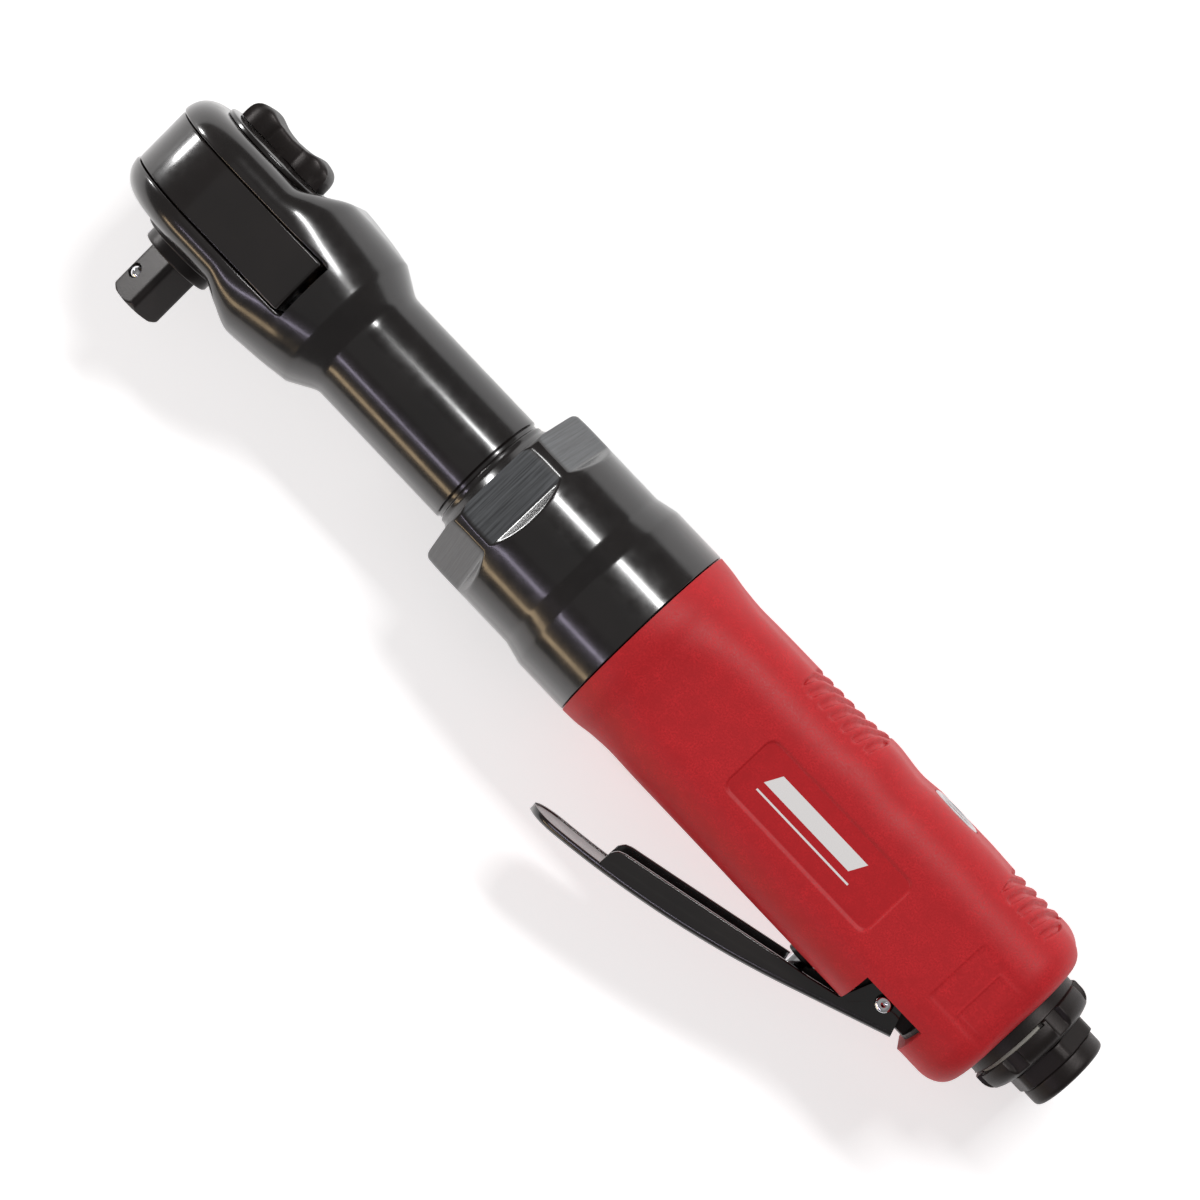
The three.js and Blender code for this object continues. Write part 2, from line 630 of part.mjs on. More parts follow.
const dowelHole = rod(dowel.radius + seated, frontPlate.from + 2, rearPlate.to - 2, onDowel);
piece(
  "front_end_plate",
  alloy,
  cut(
    tube(frontPlate.shaft + 0.3, motor.cylinder, frontPlate.from, motor.from - 0.1),
    rod(frontPlate.bearing + seated, frontPlate.from - 1, frontPlate.from + 6.1),
    dowelHole,
  ),
);
piece(
  "front_ball_bearing",
  brightSteel,
  tube(frontPlate.shaft + turning, frontPlate.bearing, frontPlate.from + 0.6, frontPlate.from + 6),
);
piece(
  "rear_end_plate",
  alloy,
  cut(
    tube(rearPlate.shaft + 0.3, motor.cylinder, motor.to + 0.1, rearPlate.to),
    rod(rearPlate.bearing + seated, rearPlate.to - 6.6, rearPlate.to + 1),
    rod(airway.radius, motor.to, rearPlate.to + 1, { at: [0, airway.y, 0] }),
    ...exhausts.map((at) => rod(exhaust.radius, motor.to, rearPlate.to + 1, { at })),
    dowelHole,
  ),
);
piece(
  "rear_ball_bearing",
  brightSteel,
  tube(rearPlate.shaft + turning, rearPlate.bearing, rearPlate.to - 6.5, rearPlate.to - 1.2),
);
piece("cylinder_dowel", steel, rod(dowel.radius, motor.from - 6, motor.to + 5, onDowel));

// ---------- handle ----------

// The nut's front end has six wrench flats with sloping run-outs, and its bore steps out to the thread.
function clampNut() {
  const body = turned([
    [nut.from, neck.flareRadius + 0.4],
    [nut.from, nut.radius - 1.6],
    [nut.from + 1.2, nut.radius - 0.5],
    [nut.rim, nut.radius],
    [nut.coneFrom, nut.radius],
    [nut.coneTo, nut.rear],
    [nutEnd, nut.rear],
    [nutEnd, thread.radius + 0.1],
    [thread.from - 0.4, thread.radius + 0.1],
    [thread.from - 0.4, flange.radius + 0.1],
    [flange.from - meeting, flange.radius + 0.1],
    [flange.from - meeting, neck.flareRadius + 0.4],
  ]);
  const h = flats.across / 2;
  const wedge = [[nut.from - 1, h], [flats.to, h], [flats.to + 4, h + 4], [nut.from - 1, h + 4]];
  const cuts = Array.from({ length: flats.count }, (_, i) => {
    const angle = radians(90 - flats.turn + (360 * i) / flats.count);
    const geometry = new THREE.ExtrudeGeometry(
      new THREE.Shape(wedge.map((p) => new THREE.Vector2(...p))),
      { depth: 2 * h, bevelEnabled: false },
    );
    geometry.translate(0, 0, -h).rotateX(angle);
    return solid(geometry);
  });
  return cut(body, ...cuts);
}
piece("clamp_nut", blackEnamel, clampNut());

const acrossTool = { axis: "y", at: [valve.x, 0, 0] };
const onPivot = { axis: "z", at: [pivot.x, pivot.y, 0] };
const lugHalf = lever.half - lever.wall - 0.4;
const slotOuter = lever.half + 0.3;
const onInlet = { at: [0, inletY, 0] };

// The barrel holds the motor in front and the valve, the airways and the inlet behind. It is cut away
// on both sides of a lug, which holds the lever's pin between the lever's ears.
function motorBarrel() {
  const shell = turned([
    [thread.from, 0],
    [thread.from, thread.radius - 0.6],
    [thread.from + 0.8, thread.radius],
    [nutEnd, thread.radius],
    [nutEnd, barrel.radius],
    [barrel.taperX, barrel.radius],
    [barrel.end, barrel.endRadius],
    [barrel.end, 0],
  ]);
  const lug = join(
    rod(pivot.lug, -lugHalf, lugHalf, onPivot),
    block([pivot.x - pivot.lug, pivot.x + pivot.lug], [pivot.y, -10], [-lugHalf, lugHalf]),
  );
  const earSpace = (z0, z1) => block([pocket.from - 0.5, pocket.to - 1], [-30, -9.9], [z0, z1]);
  return cut(
    join(shell, lug),
    rod(barrel.bore, thread.from - 1, rearPlate.to + 0.1),
    rod(valve.bore, -30, 30, acrossTool),
    rod(airway.radius, rearPlate.to - 1, valve.x, { at: [0, airway.y, 0] }),
    ...exhausts.map((at) => rod(exhaust.radius, rearPlate.to - 1, barrel.end + 1, { at })),
    rod(inlet.bore + 0.4, valve.x, inlet.from, onInlet),
    rod(inlet.body + turning, inlet.from - 1.2, barrel.end + 1, onInlet),
    earSpace(lugHalf + 0.001, barrel.radius),
    earSpace(-barrel.radius, -lugHalf - 0.001),
    rod(pivot.pin + seated, -pivot.pinHalf - 1, pivot.pinHalf + 1, onPivot),
  );
}
piece("motor_barrel", alloy, motorBarrel());

// Ribs stand in a shallow recess on the knob side of the jacket.
function gripCut({ from, ribs }) {
  const to = from + ribs * grip.pitch + grip.pitch - grip.rib;
  const recess = block([from, to], [grip.floor, 30], [-grip.half, grip.half]);
  const bars = Array.from({ length: ribs }, (_, i) => {
    const x = from + grip.pitch - grip.rib + i * grip.pitch;
    return block([x, x + grip.rib], [grip.floor - 1, grip.top], [-grip.half - 1, grip.half + 1]);
  });
  return cut(recess, ...bars);
}

// The jacket starts round at the nut, necks down to a soft box with a flat label face, swells around
// the grips and the regulator, and ends in a rounded rear.
function handleJacket() {
  const shell = lofted([
    { x: jacket.from, a: 23.3, b: 23.3, r: 23.2 },
    { x: 131, a: 22.9, b: 22.7, r: 21 },
    { x: 136, y: 0.1, a: 22, b: 21.1, r: 17.5 },
    { x: 142, y: 0.2, a: 21.4, b: 20.1, r: 14 },
    { x: 150, y: 0.25, a: 21.45, b: 20, r: 13 },
    { x: 172, y: 0.3, a: 21.5, b: 20, r: 13 },
    { x: 181.5, y: 0.7, a: 21.95, b: 20, r: 13 },
    { x: 190, y: 0.35, a: 21.6, b: 20, r: 13 },
    { x: 196, y: 0.6, a: 21.85, b: 20, r: 13 },
    { x: 210, y: 0.6, a: 21.85, b: 20, r: 13 },
    { x: 218, y: 0.7, a: 21.5, b: 20, r: 13 },
    { x: 228, y: 1.1, a: 21.3, b: 20, r: 13.5 },
    { x: 234.5, y: 1.3, a: 20.8, b: 19.7, r: 14.5 },
    { x: 237.2, y: 1.2, a: 19.6, b: 18.8, r: 15 },
    { x: 238.7, y: 1.2, a: 18.1, b: 17.7, r: 15.5 },
    { x: jacket.end, y: 1.2, a: 16.6, b: 16.4, r: 15.8 },
  ]);
  const cavity = turned([
    [jacket.from - 1, 0],
    [jacket.from - 1, barrel.radius + 0.05],
    [barrel.taperX, barrel.radius + 0.05],
    [barrel.end + meeting, barrel.endRadius + 0.1],
    [barrel.end + meeting, 0],
  ]);
  return cut(
    shell,
    cavity,
    rod(deflector.radius + 0.3, barrel.end - 0.5, jacket.end + 1, onInlet),
    block([label.from, label.to], [-label.half, label.half], [label.floor, 30]),
    block([tag.from, tag.to], [inletY - tag.half, inletY + tag.half], [tag.floor, 30]),
    ...grips.map(gripCut),
    rod(dial.radius + 0.3, 0, 30, acrossTool),
    rod(sleeve.radius + 0.3, -30, 0, acrossTool),
    block([pocket.from, pocket.to], [-30, pocket.flat], [-30, 30]),
    block([pocket.slotFrom, pocket.from + 1], [-30, -17], [-slotOuter - 0.3, slotOuter + 0.3]),
  );
}
piece("handle_jacket", redGrip, handleJacket());

// ---------- throttle ----------

// The lever is a stamped channel on a gentle curve: its web runs from the finger tip to the pin, and
// side walls stand up behind the shoulder and end in round ears on the pin.
function throttleLever() {
  const [tip, bend, rear, end] = Object.values(leverLine).map((p) => new THREE.Vector2(...p));
  const outer = [...new THREE.QuadraticBezierCurve(tip, bend, rear).getPoints(12), end];
  const inner = outer.map((point, i) => {
    const before = outer[Math.max(0, i - 1)];
    const after = outer[Math.min(outer.length - 1, i + 1)];
    const along = after.clone().sub(before).normalize();
    return new THREE.Vector2(point.x - along.y * lever.wall, point.y + along.x * lever.wall);
  });
  const pair = (v) => [v.x, v.y];
  const shoulderIndex = inner.findIndex((v) => v.x > lever.shoulderX - 3);
  const blade = inner.slice(0, shoulderIndex).map(pair);
  const ears = arc([pivot.x, pivot.y], lever.hub, -12, 165, 12);
  const walls = [
    [211, -19.6],
    [204, -21.6],
    [197, -23.7],
    [184, -27.6],
    [170, -31.3],
    [lever.shoulderX + 1.5, -33.9],
  ];
  const shoulder = [[lever.shoulderX, -34.6], [lever.shoulderX - 1.2, -36.6]];
  const outline = [...outer.map(pair), ...ears, ...walls, ...shoulder, ...blade.reverse()];
  const channel = [
    ...inner.slice(shoulderIndex).map(pair),
    [235, -18],
    [235, 0],
    [lever.shoulderX - 5, 0],
    [inner[shoulderIndex].x, -36],
  ];
  const half = lever.half;
  const tipX = outer[0].x - 1;
  const plan = [...arc([tipX + half, 0], half, 90, 270, 12), [240, -half], [240, half]];
  return common(
    cut(
      prism(outline, -half, half, "z"),
      prism(channel, -half + lever.wall, half - lever.wall, "z"),
      rod(pivot.pin + turning, -half - 1, half + 1, onPivot),
    ),
    prism(plan, -60, 10, "y"),
  );
}
piece("throttle_lever", blackEnamel, throttleLever());
piece("lever_pin", brightSteel, rod(pivot.pin, -pivot.pinHalf, pivot.pinHalf, onPivot));

const seat = { from: -10, to: -8.2 };
const poppet = { from: -8, to: -5, radius: 4.2, spigot: 1.6 };
piece(
  "valve_bushing",
  brightSteel,
  join(
    tube(valve.stem + turning, valve.bore - seated, sleeve.shoulder, seat.from - meeting, acrossTool),
    tube(valve.stem + turning, sleeve.radius, sleeve.end, sleeve.shoulder, acrossTool),
  ),
);
piece("valve_stem", steel, rod(valve.stem, valve.stemEnd, poppet.from - 0.1, acrossTool));
piece("valve_seat", rubber, tube(valve.stem + 0.5, valve.bore - seated, seat.from, seat.to, acrossTool));
piece(
  "valve_poppet",
  bronze,
  join(
    rod(poppet.radius, poppet.from, poppet.to, acrossTool),
    rod(poppet.spigot, poppet.to - 0.5, poppet.to + 1.6, acrossTool),
  ),
);
piece("valve_spring", steel, coil(2.7, 0.4, 5, poppet.to + 0.5, dial.depth - 0.6, { at: [valve.x, 0, 0] }));

// The regulator: a slotted dial in the jacket, on a spool that crosses the airway.
const dialGroove = { from: 15.6, to: 17.3, radius: 4.1 };
const acrossDial = [valve.x - dial.radius - 1, valve.x + dial.radius + 1];
piece(
  "regulator_dial",
  zinc,
  cut(
    turned(
      [
        [dial.depth, 0],
        [dial.depth, dial.body],
        [dialGroove.from, dial.body],
        [dialGroove.from, dialGroove.radius],
        [dialGroove.to, dialGroove.radius],
        [dialGroove.to, dial.body],
        [dial.from, dial.body],
        [dial.from, dial.radius],
        [dial.to - 0.5, dial.radius],
        [dial.to, dial.radius - 0.6],
        [dial.to, 0],
      ],
      acrossTool,
    ),
    block(acrossDial, [dial.to - 1.2, dial.to + 1], [-0.7, 0.7]),
    block(acrossDial, [dial.depth - 1, dialGroove.from - 1], [2.2, 6]),
  ),
);
piece(
  "regulator_seal",
  rubber,
  tube(
    dialGroove.radius + turning,
    valve.bore - seated,
    dialGroove.from + 0.1,
    dialGroove.to - 0.1,
    acrossTool,
  ),
);

// ---------- inlet and exhaust ----------

// The deflector is a lobed cap that turns on the inlet, with an outlet slot round part of it.
function exhaustDeflector() {
  const [slotFrom, slotTo] = outletSlot;
  const lobeAngle = 360 / lobes;
  const outline = Array.from({ length: lobes }, (_, i) => i * lobeAngle).flatMap((middle) => [
    ...arc([0, 0], deflector.radius, middle - 17, middle + 17, 3),
    ...arc([0, 0], deflector.groove, middle + 19, middle + lobeAngle - 19, 1),
  ]);
  const shifted = turnedOutline(outline, radians(84.3), [inletY, 0]);
  const grips = common(
    prism(shifted, slotFrom - 0.5, deflector.end, "x"),
    turned(
      [
        [slotFrom - 0.5, 0],
        [slotFrom - 0.5, 15],
        [deflector.end - 3.2, deflector.radius],
        [deflector.end - 1, deflector.radius - 1],
        [deflector.end, deflector.radius - 2.6],
        [deflector.end, 0],
      ],
      onInlet,
    ),
  );
  const ring = rod(deflector.ring, deflector.from, slotFrom, onInlet);
  const sector = [[0, 0], ...arc([0, 0], 30, 70, 220, 8)];
  const outlet = prism(turnedOutline(sector, 0, [inletY, 0]), slotFrom, slotTo, "x");
  return cut(
    join(ring, grips),
    rod(deflector.bore, deflector.from - 1, deflector.end - 1.4, onInlet),
    rod(inlet.body + turning, deflector.from, deflector.end + 1, onInlet),
    outlet,
  );
}
piece("exhaust_deflector", blackSteel, exhaustDeflector());
piece(
  "muffler_felt",
  felt,
  tube(inlet.body + 0.3, deflector.bore - 0.3, deflector.from + 0.3, deflector.end - 1.8, onInlet),
);

const hexCorners = arc([0, 0], inletHex.across / Math.sqrt(3), 0, 300, 5);
const hexOutline = turnedOutline(hexCorners, radians(12), [inletY, 0]);
piece(
  "inlet_bushing",
  blackSteel,
  cut(
    join(
      rod(inlet.body, inlet.from, inlet.hexTo, onInlet),
      common(
        prism(hexOutline, inlet.hexFrom, inlet.hexTo, "x"),
        rod(inletHex.corner, inlet.hexFrom, inlet.hexTo, onInlet),
      ),
      turned(
        [
          [inlet.hexTo - 0.2, 0],
          [inlet.hexTo - 0.2, inletHex.collar],
          [inlet.end - 1.2, inletHex.collar],
          [inlet.end - 0.35, inletHex.collar - 0.35],
          [inlet.end, inletHex.collar - 1.2],
          [inlet.end, 0],
        ],
        onInlet,
      ),
    ),
    rod(inlet.bore, inlet.from - 1, inlet.end, onInlet),
    turned(
      [
        [inlet.end - inletHex.depth, 0],
        [inlet.end - inletHex.depth, inletHex.socket],
        [inlet.end, inletHex.mouth],
        [inlet.end + 1, inletHex.mouth],
        [inlet.end + 1, 0],
      ],
      onInlet,
    ),
  ),
);
const meshHoles = [[0, 0], ...arc([0, 0], 4.4, 0, 300, 5)];
piece(
  "inlet_screen",
  brightSteel,
  cut(
    rod(inlet.body - 0.1, inlet.from - 1, inlet.from - 0.3, onInlet),
    ...meshHoles.map(([y, z]) => rod(1.4, inlet.from - 2, inlet.from, { at: [0, inletY + y, z] })),
  ),
);

export default airRatchet;
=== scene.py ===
"""Finished surfaces, materials and stage for an air ratchet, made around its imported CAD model.

Shapes are worked out in millimetres in the tool's own frame: x runs along the tool from the head to
the air inlet, y is measured from the tool's axis towards the reversing knob, and z is up.
"""

import json
import math

import bmesh
import bpy
import numpy as np
from bpy.props import FloatProperty, FloatVectorProperty, PointerProperty
from mathutils import Matrix, Vector

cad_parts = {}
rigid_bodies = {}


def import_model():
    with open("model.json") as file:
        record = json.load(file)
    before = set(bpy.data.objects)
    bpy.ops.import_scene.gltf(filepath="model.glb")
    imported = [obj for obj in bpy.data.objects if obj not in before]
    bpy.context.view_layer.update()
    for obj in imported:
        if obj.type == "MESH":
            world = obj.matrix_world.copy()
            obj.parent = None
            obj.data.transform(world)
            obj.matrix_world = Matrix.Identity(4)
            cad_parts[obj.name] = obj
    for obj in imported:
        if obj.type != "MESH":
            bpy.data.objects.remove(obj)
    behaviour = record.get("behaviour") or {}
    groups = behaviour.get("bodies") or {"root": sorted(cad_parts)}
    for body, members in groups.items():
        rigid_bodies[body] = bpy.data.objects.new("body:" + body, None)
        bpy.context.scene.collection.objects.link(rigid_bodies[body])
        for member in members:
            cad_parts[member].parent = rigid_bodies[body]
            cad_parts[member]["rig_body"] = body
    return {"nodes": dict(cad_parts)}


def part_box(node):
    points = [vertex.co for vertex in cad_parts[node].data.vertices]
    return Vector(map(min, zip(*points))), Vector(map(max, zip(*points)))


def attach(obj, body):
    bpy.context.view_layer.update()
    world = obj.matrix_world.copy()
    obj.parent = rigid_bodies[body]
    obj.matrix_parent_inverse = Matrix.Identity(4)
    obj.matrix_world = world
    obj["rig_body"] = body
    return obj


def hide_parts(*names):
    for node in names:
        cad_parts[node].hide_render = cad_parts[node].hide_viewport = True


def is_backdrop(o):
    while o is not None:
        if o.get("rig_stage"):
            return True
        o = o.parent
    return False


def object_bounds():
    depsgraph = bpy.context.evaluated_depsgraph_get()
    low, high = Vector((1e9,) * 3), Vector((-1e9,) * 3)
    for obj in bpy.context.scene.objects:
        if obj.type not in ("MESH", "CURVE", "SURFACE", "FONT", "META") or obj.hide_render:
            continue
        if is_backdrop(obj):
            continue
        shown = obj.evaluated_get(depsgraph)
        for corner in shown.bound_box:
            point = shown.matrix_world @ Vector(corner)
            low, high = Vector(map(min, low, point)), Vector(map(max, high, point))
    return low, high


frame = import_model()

bl_info = {
    "name": "Air Ratchet",
    "version": (1, 0, 0),
    "blender": (4, 5, 0),
    "location": "3D View > Sidebar > Air Ratchet",
    "description": "Builds the surfaces, materials and stage of an air ratchet",
    "category": "Add Mesh",
}

MM = 0.001


def box_mm(node):
    """Lowest and highest corner of a CAD node, in millimetres, in the tool's own frame."""
    return [np.array(corner) / MM - [0, AXIS_Y, 0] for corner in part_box(node)]


AXIS_Y = sum(corner[1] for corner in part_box("ring_gear")) / 2 / MM


# ---------- sizes in the tool's frame, in millimetres ----------

HEAD_LOW, HEAD_HIGH = box_mm("ratchet_housing")
_, YOKE_HIGH = box_mm("ratchet_yoke")
NUT_LOW, NUT_HIGH = box_mm("clamp_nut")
_, JACKET_HIGH = box_mm("handle_jacket")
COVER_LOW, COVER_HIGH = box_mm("bore_cover")
_, KNOB_HIGH = box_mm("reverse_knob")
ANVIL_LOW, ANVIL_HIGH = box_mm("anvil")
DIAL_LOW, DIAL_HIGH = box_mm("regulator_dial")
DEFLECTOR_LOW, DEFLECTOR_HIGH = box_mm("exhaust_deflector")
INLET_LOW, INLET_HIGH = box_mm("inlet_bushing")
PIN_LOW, PIN_HIGH = box_mm("lever_pin")

NOSE = -HEAD_LOW[0]
CHEEK = 13.35
CHEEK_ROUND = 6.2
SLOT_HALF = 7.0
SLOT_ROOT = 28.3
SLOT_EDGE = 0.45
YOKE_BEND = 13.0
YOKE_DRAW = 1.1
SHOULDER_END = 35.5
SHOULDER_END_RADIUS = 18.0
NECK_RADIUS = 14.35
NECK_FROM = 42.0
DRIVE_ANGLE = math.radians(33)
DRIVE_HALF = 9.525 / 2
INLET_Y = (INLET_LOW[1] + INLET_HIGH[1]) / 2
VALVE_X = (DIAL_LOW[0] + DIAL_HIGH[0]) / 2
PIVOT = np.array([(PIN_LOW[0] + PIN_HIGH[0]) / 2, (PIN_LOW[1] + PIN_HIGH[1]) / 2])

CAP_FROM = 233.0
CAP_SHRINK = 4.6
JACKET_BORE = 18.65
LABEL_FROM = 162.2
LABEL_TO = 204.1
LABEL_HALF = 7.25
LABEL_EDGE = 0.4
GRIPS = ((158.4, 179.6), (217.0, 231.6))
POCKET_X = (211, 227)
POCKET_FLAT = -12.8

CAMERA_X = 156.0
CAMERA_AIM = (116.0, AXIS_Y - 1.5, 0.0)


# ---------- outlines and grids ----------


def rounded(corners, closed=False, pieces=5):
    """A line of (station, radius, fillet) corners. Each fillet is a parabola tangent to both sides."""
    points = []
    count = len(corners)
    for i, (station, radius, fillet) in enumerate(corners):
        here = np.array([station, radius], float)
        if not fillet or (not closed and i in (0, count - 1)):
            points.append(here[None])
            continue
        sides = [np.array(corners[(i + k) % count][:2], float) - here for k in (-1, 1)]
        lengths = [np.linalg.norm(side) for side in sides]
        reach = min(fillet, 0.45 * min(lengths))
        start, end = (here + side / length * reach for side, length in zip(sides, lengths))
        t = np.linspace(0, 1, pieces + 1)[:, None]
        points.append((1 - t) ** 2 * start + 2 * t * (1 - t) * here + t**2 * end)
    return np.concatenate(points)


def dense(points, step):
    """The same line with points no further apart than the step."""
    spans = np.linalg.norm(np.diff(points, axis=0), axis=1)
    counts = np.maximum(1, np.ceil(spans / step)).astype(int)
    stretches = [
        np.linspace(a, b, n, endpoint=False) for a, b, n in zip(points[:-1], points[1:], counts)
    ]
    return np.concatenate([*stretches, points[-1:]])


def smooth(x, knots, values):
    """Monotone cubic through the knots: each slope is the harmonic mean of its two chords."""
    knots, values = np.asarray(knots, float), np.asarray(values, float)
    spans = np.diff(knots)
    chords = np.diff(values) / spans
    slopes = np.concatenate([chords[:1], np.zeros(len(knots) - 2), chords[-1:]])
    before, after = chords[:-1], chords[1:]
    same = before * after > 0
    total = np.where(same, before + after, 1)
    slopes[1:-1] = np.where(same, 2 * before * after / total, 0)
    i = np.clip(np.searchsorted(knots, x) - 1, 0, len(spans) - 1)
    t = np.clip((x - knots[i]) / spans[i], 0, 1)
    rise = values[i + 1] - values[i]
    return (
        values[i]
        + rise * t * t * (3 - 2 * t)
        + spans[i] * t * (1 - t) * (slopes[i] * (1 - t) - slopes[i + 1] * t)
    )


def soft_min(a, b, blend):
    """The smaller of two values, eased over the blend distance where they are nearly equal."""
    ease = np.maximum(blend - np.abs(a - b), 0) / blend
    return np.minimum(a, b) - ease**2 * blend / 4


def step_up(value, start, width):
    """0 before the start and 1 a width after it, with an S-shaped rise between."""
    t = np.clip((value - start) / width, 0, 1)
    return t * t * (3 - 2 * t)


def turned(profile, angles, axis="x", centre=(0, 0, 0), radius=None):
    """A profile carried round an axis: its station lies along the axis, and its radius is multiplied
    by the cosine and the sine of the angle across it. `radius` may reshape the radius at each point."""
    angles = np.atleast_2d(angles)
    station = profile[:, :1] + 0 * angles
    reach = profile[:, 1:2] + 0 * angles
    if radius is not None:
        reach = radius(station, reach, angles)
    across, up = reach * np.cos(angles), reach * np.sin(angles)
    axes = {"x": (station, across, up), "y": (up, station, across), "z": (across, up, station)}
    return np.stack(axes[axis], axis=-1) + np.asarray(centre, float)


def full_turn(count):
    """Evenly spaced angles round a full circle."""
    return np.linspace(0, 2 * np.pi, count, endpoint=False)


def rod_grid(radius, start, end, axis="x", centre=(0, 0, 0), count=64):
    """A plain round rod, used to cut holes."""
    profile = np.array([[start, 0], [start, radius], [end, radius], [end, 0]], float)
    return turned(profile, full_turn(count), axis, centre)


def prism_grid(outline, start, end, axis="y"):
    """An outline about its own middle, pushed along an axis: (x, z) along y or (x, y) along z."""
    outline = np.asarray(outline, float)
    middle = outline.mean(axis=0)
    rows = []
    for level, size in ((start, 0), (start, 1), (end, 1), (end, 0)):
        flat = middle + (outline - middle) * size
        height = np.full(len(flat), level)
        order = (flat[:, 0], height, flat[:, 1]) if axis == "y" else (flat[:, 0], flat[:, 1], height)
        rows.append(np.stack(order, axis=-1))
    return np.stack(rows)


def block_grid(x, y, z):
    """A rectangular block between pairs of limits, used to cut pockets."""
    corners = [(x[0], z[0]), (x[1], z[0]), (x[1], z[1]), (x[0], z[1])]
    return prism_grid(corners, y[0], y[1])


# ---------- meshes ----------


def grid_faces(rows, columns, around, along, first):
    """Four-sided faces between neighbouring rows and columns of a grid of points."""
    row, column = np.meshgrid(
        np.arange(rows if along else rows - 1),
        np.arange(columns if around else columns - 1),
        indexing="ij",
    )
    next_row, next_column = (row + 1) % rows, (column + 1) % columns
    corners = [(row, column), (row, next_column), (next_row, next_column), (next_row, column)]
    return np.stack([first + r * columns + c for r, c in corners], axis=-1).reshape(-1, 4)


def weld(mesh, distance=2e-6):
    """Merges points that share a place, drops what is left with no size, and turns faces outwards."""
    shape = bmesh.new()
    shape.from_mesh(mesh)
    bmesh.ops.remove_doubles(shape, verts=shape.verts, dist=distance)
    bmesh.ops.dissolve_degenerate(shape, edges=shape.edges, dist=1e-7)
    bmesh.ops.recalc_face_normals(shape, faces=shape.faces)
    if shape.calc_volume(signed=True) < 0:
        bmesh.ops.reverse_faces(shape, faces=shape.faces)
    shape.to_mesh(mesh)
    shape.free()


def mesh_from(name, patches):
    """One closed mesh from grids of points: shared points are merged and faces turned outwards.
    A patch is (points, around) or (points, around, along): whether its columns and rows close up."""
    points, faces, first = [], [], 0
    for grid, around, *along in patches:
        rows, columns = grid.shape[:2]
        points.append(grid.reshape(-1, 3))
        faces.append(grid_faces(rows, columns, around, bool(along and along[0]), first))
        first += rows * columns
    points = np.concatenate(points) + [0, AXIS_Y, 0]
    faces = np.concatenate(faces)
    mesh = bpy.data.meshes.new(name)
    mesh.vertices.add(len(points))
    mesh.vertices.foreach_set("co", (points * MM).astype(np.float32).ravel())
    mesh.loops.add(faces.size)
    mesh.loops.foreach_set("vertex_index", faces.astype(np.int32).ravel())
    mesh.polygons.add(len(faces))
    mesh.polygons.foreach_set("loop_start", np.arange(0, faces.size, 4, dtype=np.int32))
    mesh.update(calc_edges=True)
    weld(mesh)
    return mesh


def apply_modifiers(obj):
    """Replaces the object's mesh by its finished one."""
    graph = bpy.context.evaluated_depsgraph_get()
    finished = bpy.data.meshes.new_from_object(obj.evaluated_get(graph))
    obj.modifiers.clear()
    obj.data = finished


def boolean(obj, grids, operation):
    """Cuts or joins the object with each grid in turn."""
    for grid in grids:
        other = bpy.data.objects.new("tool", mesh_from("tool", [(grid, True)]))
        bpy.context.scene.collection.objects.link(other)
        modifier = obj.modifiers.new("shape", "BOOLEAN")
        modifier.operation = operation
        modifier.object = other
        modifier.solver = "EXACT"
        apply_modifiers(obj)
        bpy.data.objects.remove(other)


def make_piece(name, patches, material, node, cuts=(), joins=(), crease=35):
    """A finished piece that stands for a CAD node: it rides on the node's body, takes the finish it is given,
    and the node is hidden.
    """
    obj = bpy.data.objects.new(name, mesh_from(name, patches))
    bpy.context.scene.collection.objects.link(obj)
    boolean(obj, joins, "UNION")
    boolean(obj, cuts, "DIFFERENCE")
    if cuts or joins:
        weld(obj.data, 4e-6)
    obj.data.shade_smooth()
    obj.data.set_sharp_from_angle(angle=math.radians(crease))
    obj.data.materials.clear()
    obj.data.materials.append(material)
    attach(obj, frame["nodes"][node]["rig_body"])
    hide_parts(node)
    return obj


def vertex_points(obj):
    """The mesh's points in millimetres, in the tool's frame."""
    values = np.empty(len(obj.data.vertices) * 3, np.float32)
    obj.data.vertices.foreach_get("co", values)
    return values.reshape(-1, 3) / MM - [0, AXIS_Y, 0]


def paint(obj, name, values):
    """Stores a number from 0 to 1 at each point for the material to read."""
    attribute = obj.data.attributes.new(name, "FLOAT", "POINT")
    attribute.data.foreach_set("value", np.clip(values, 0, 1).astype(np.float32))


# ---------- materials ----------


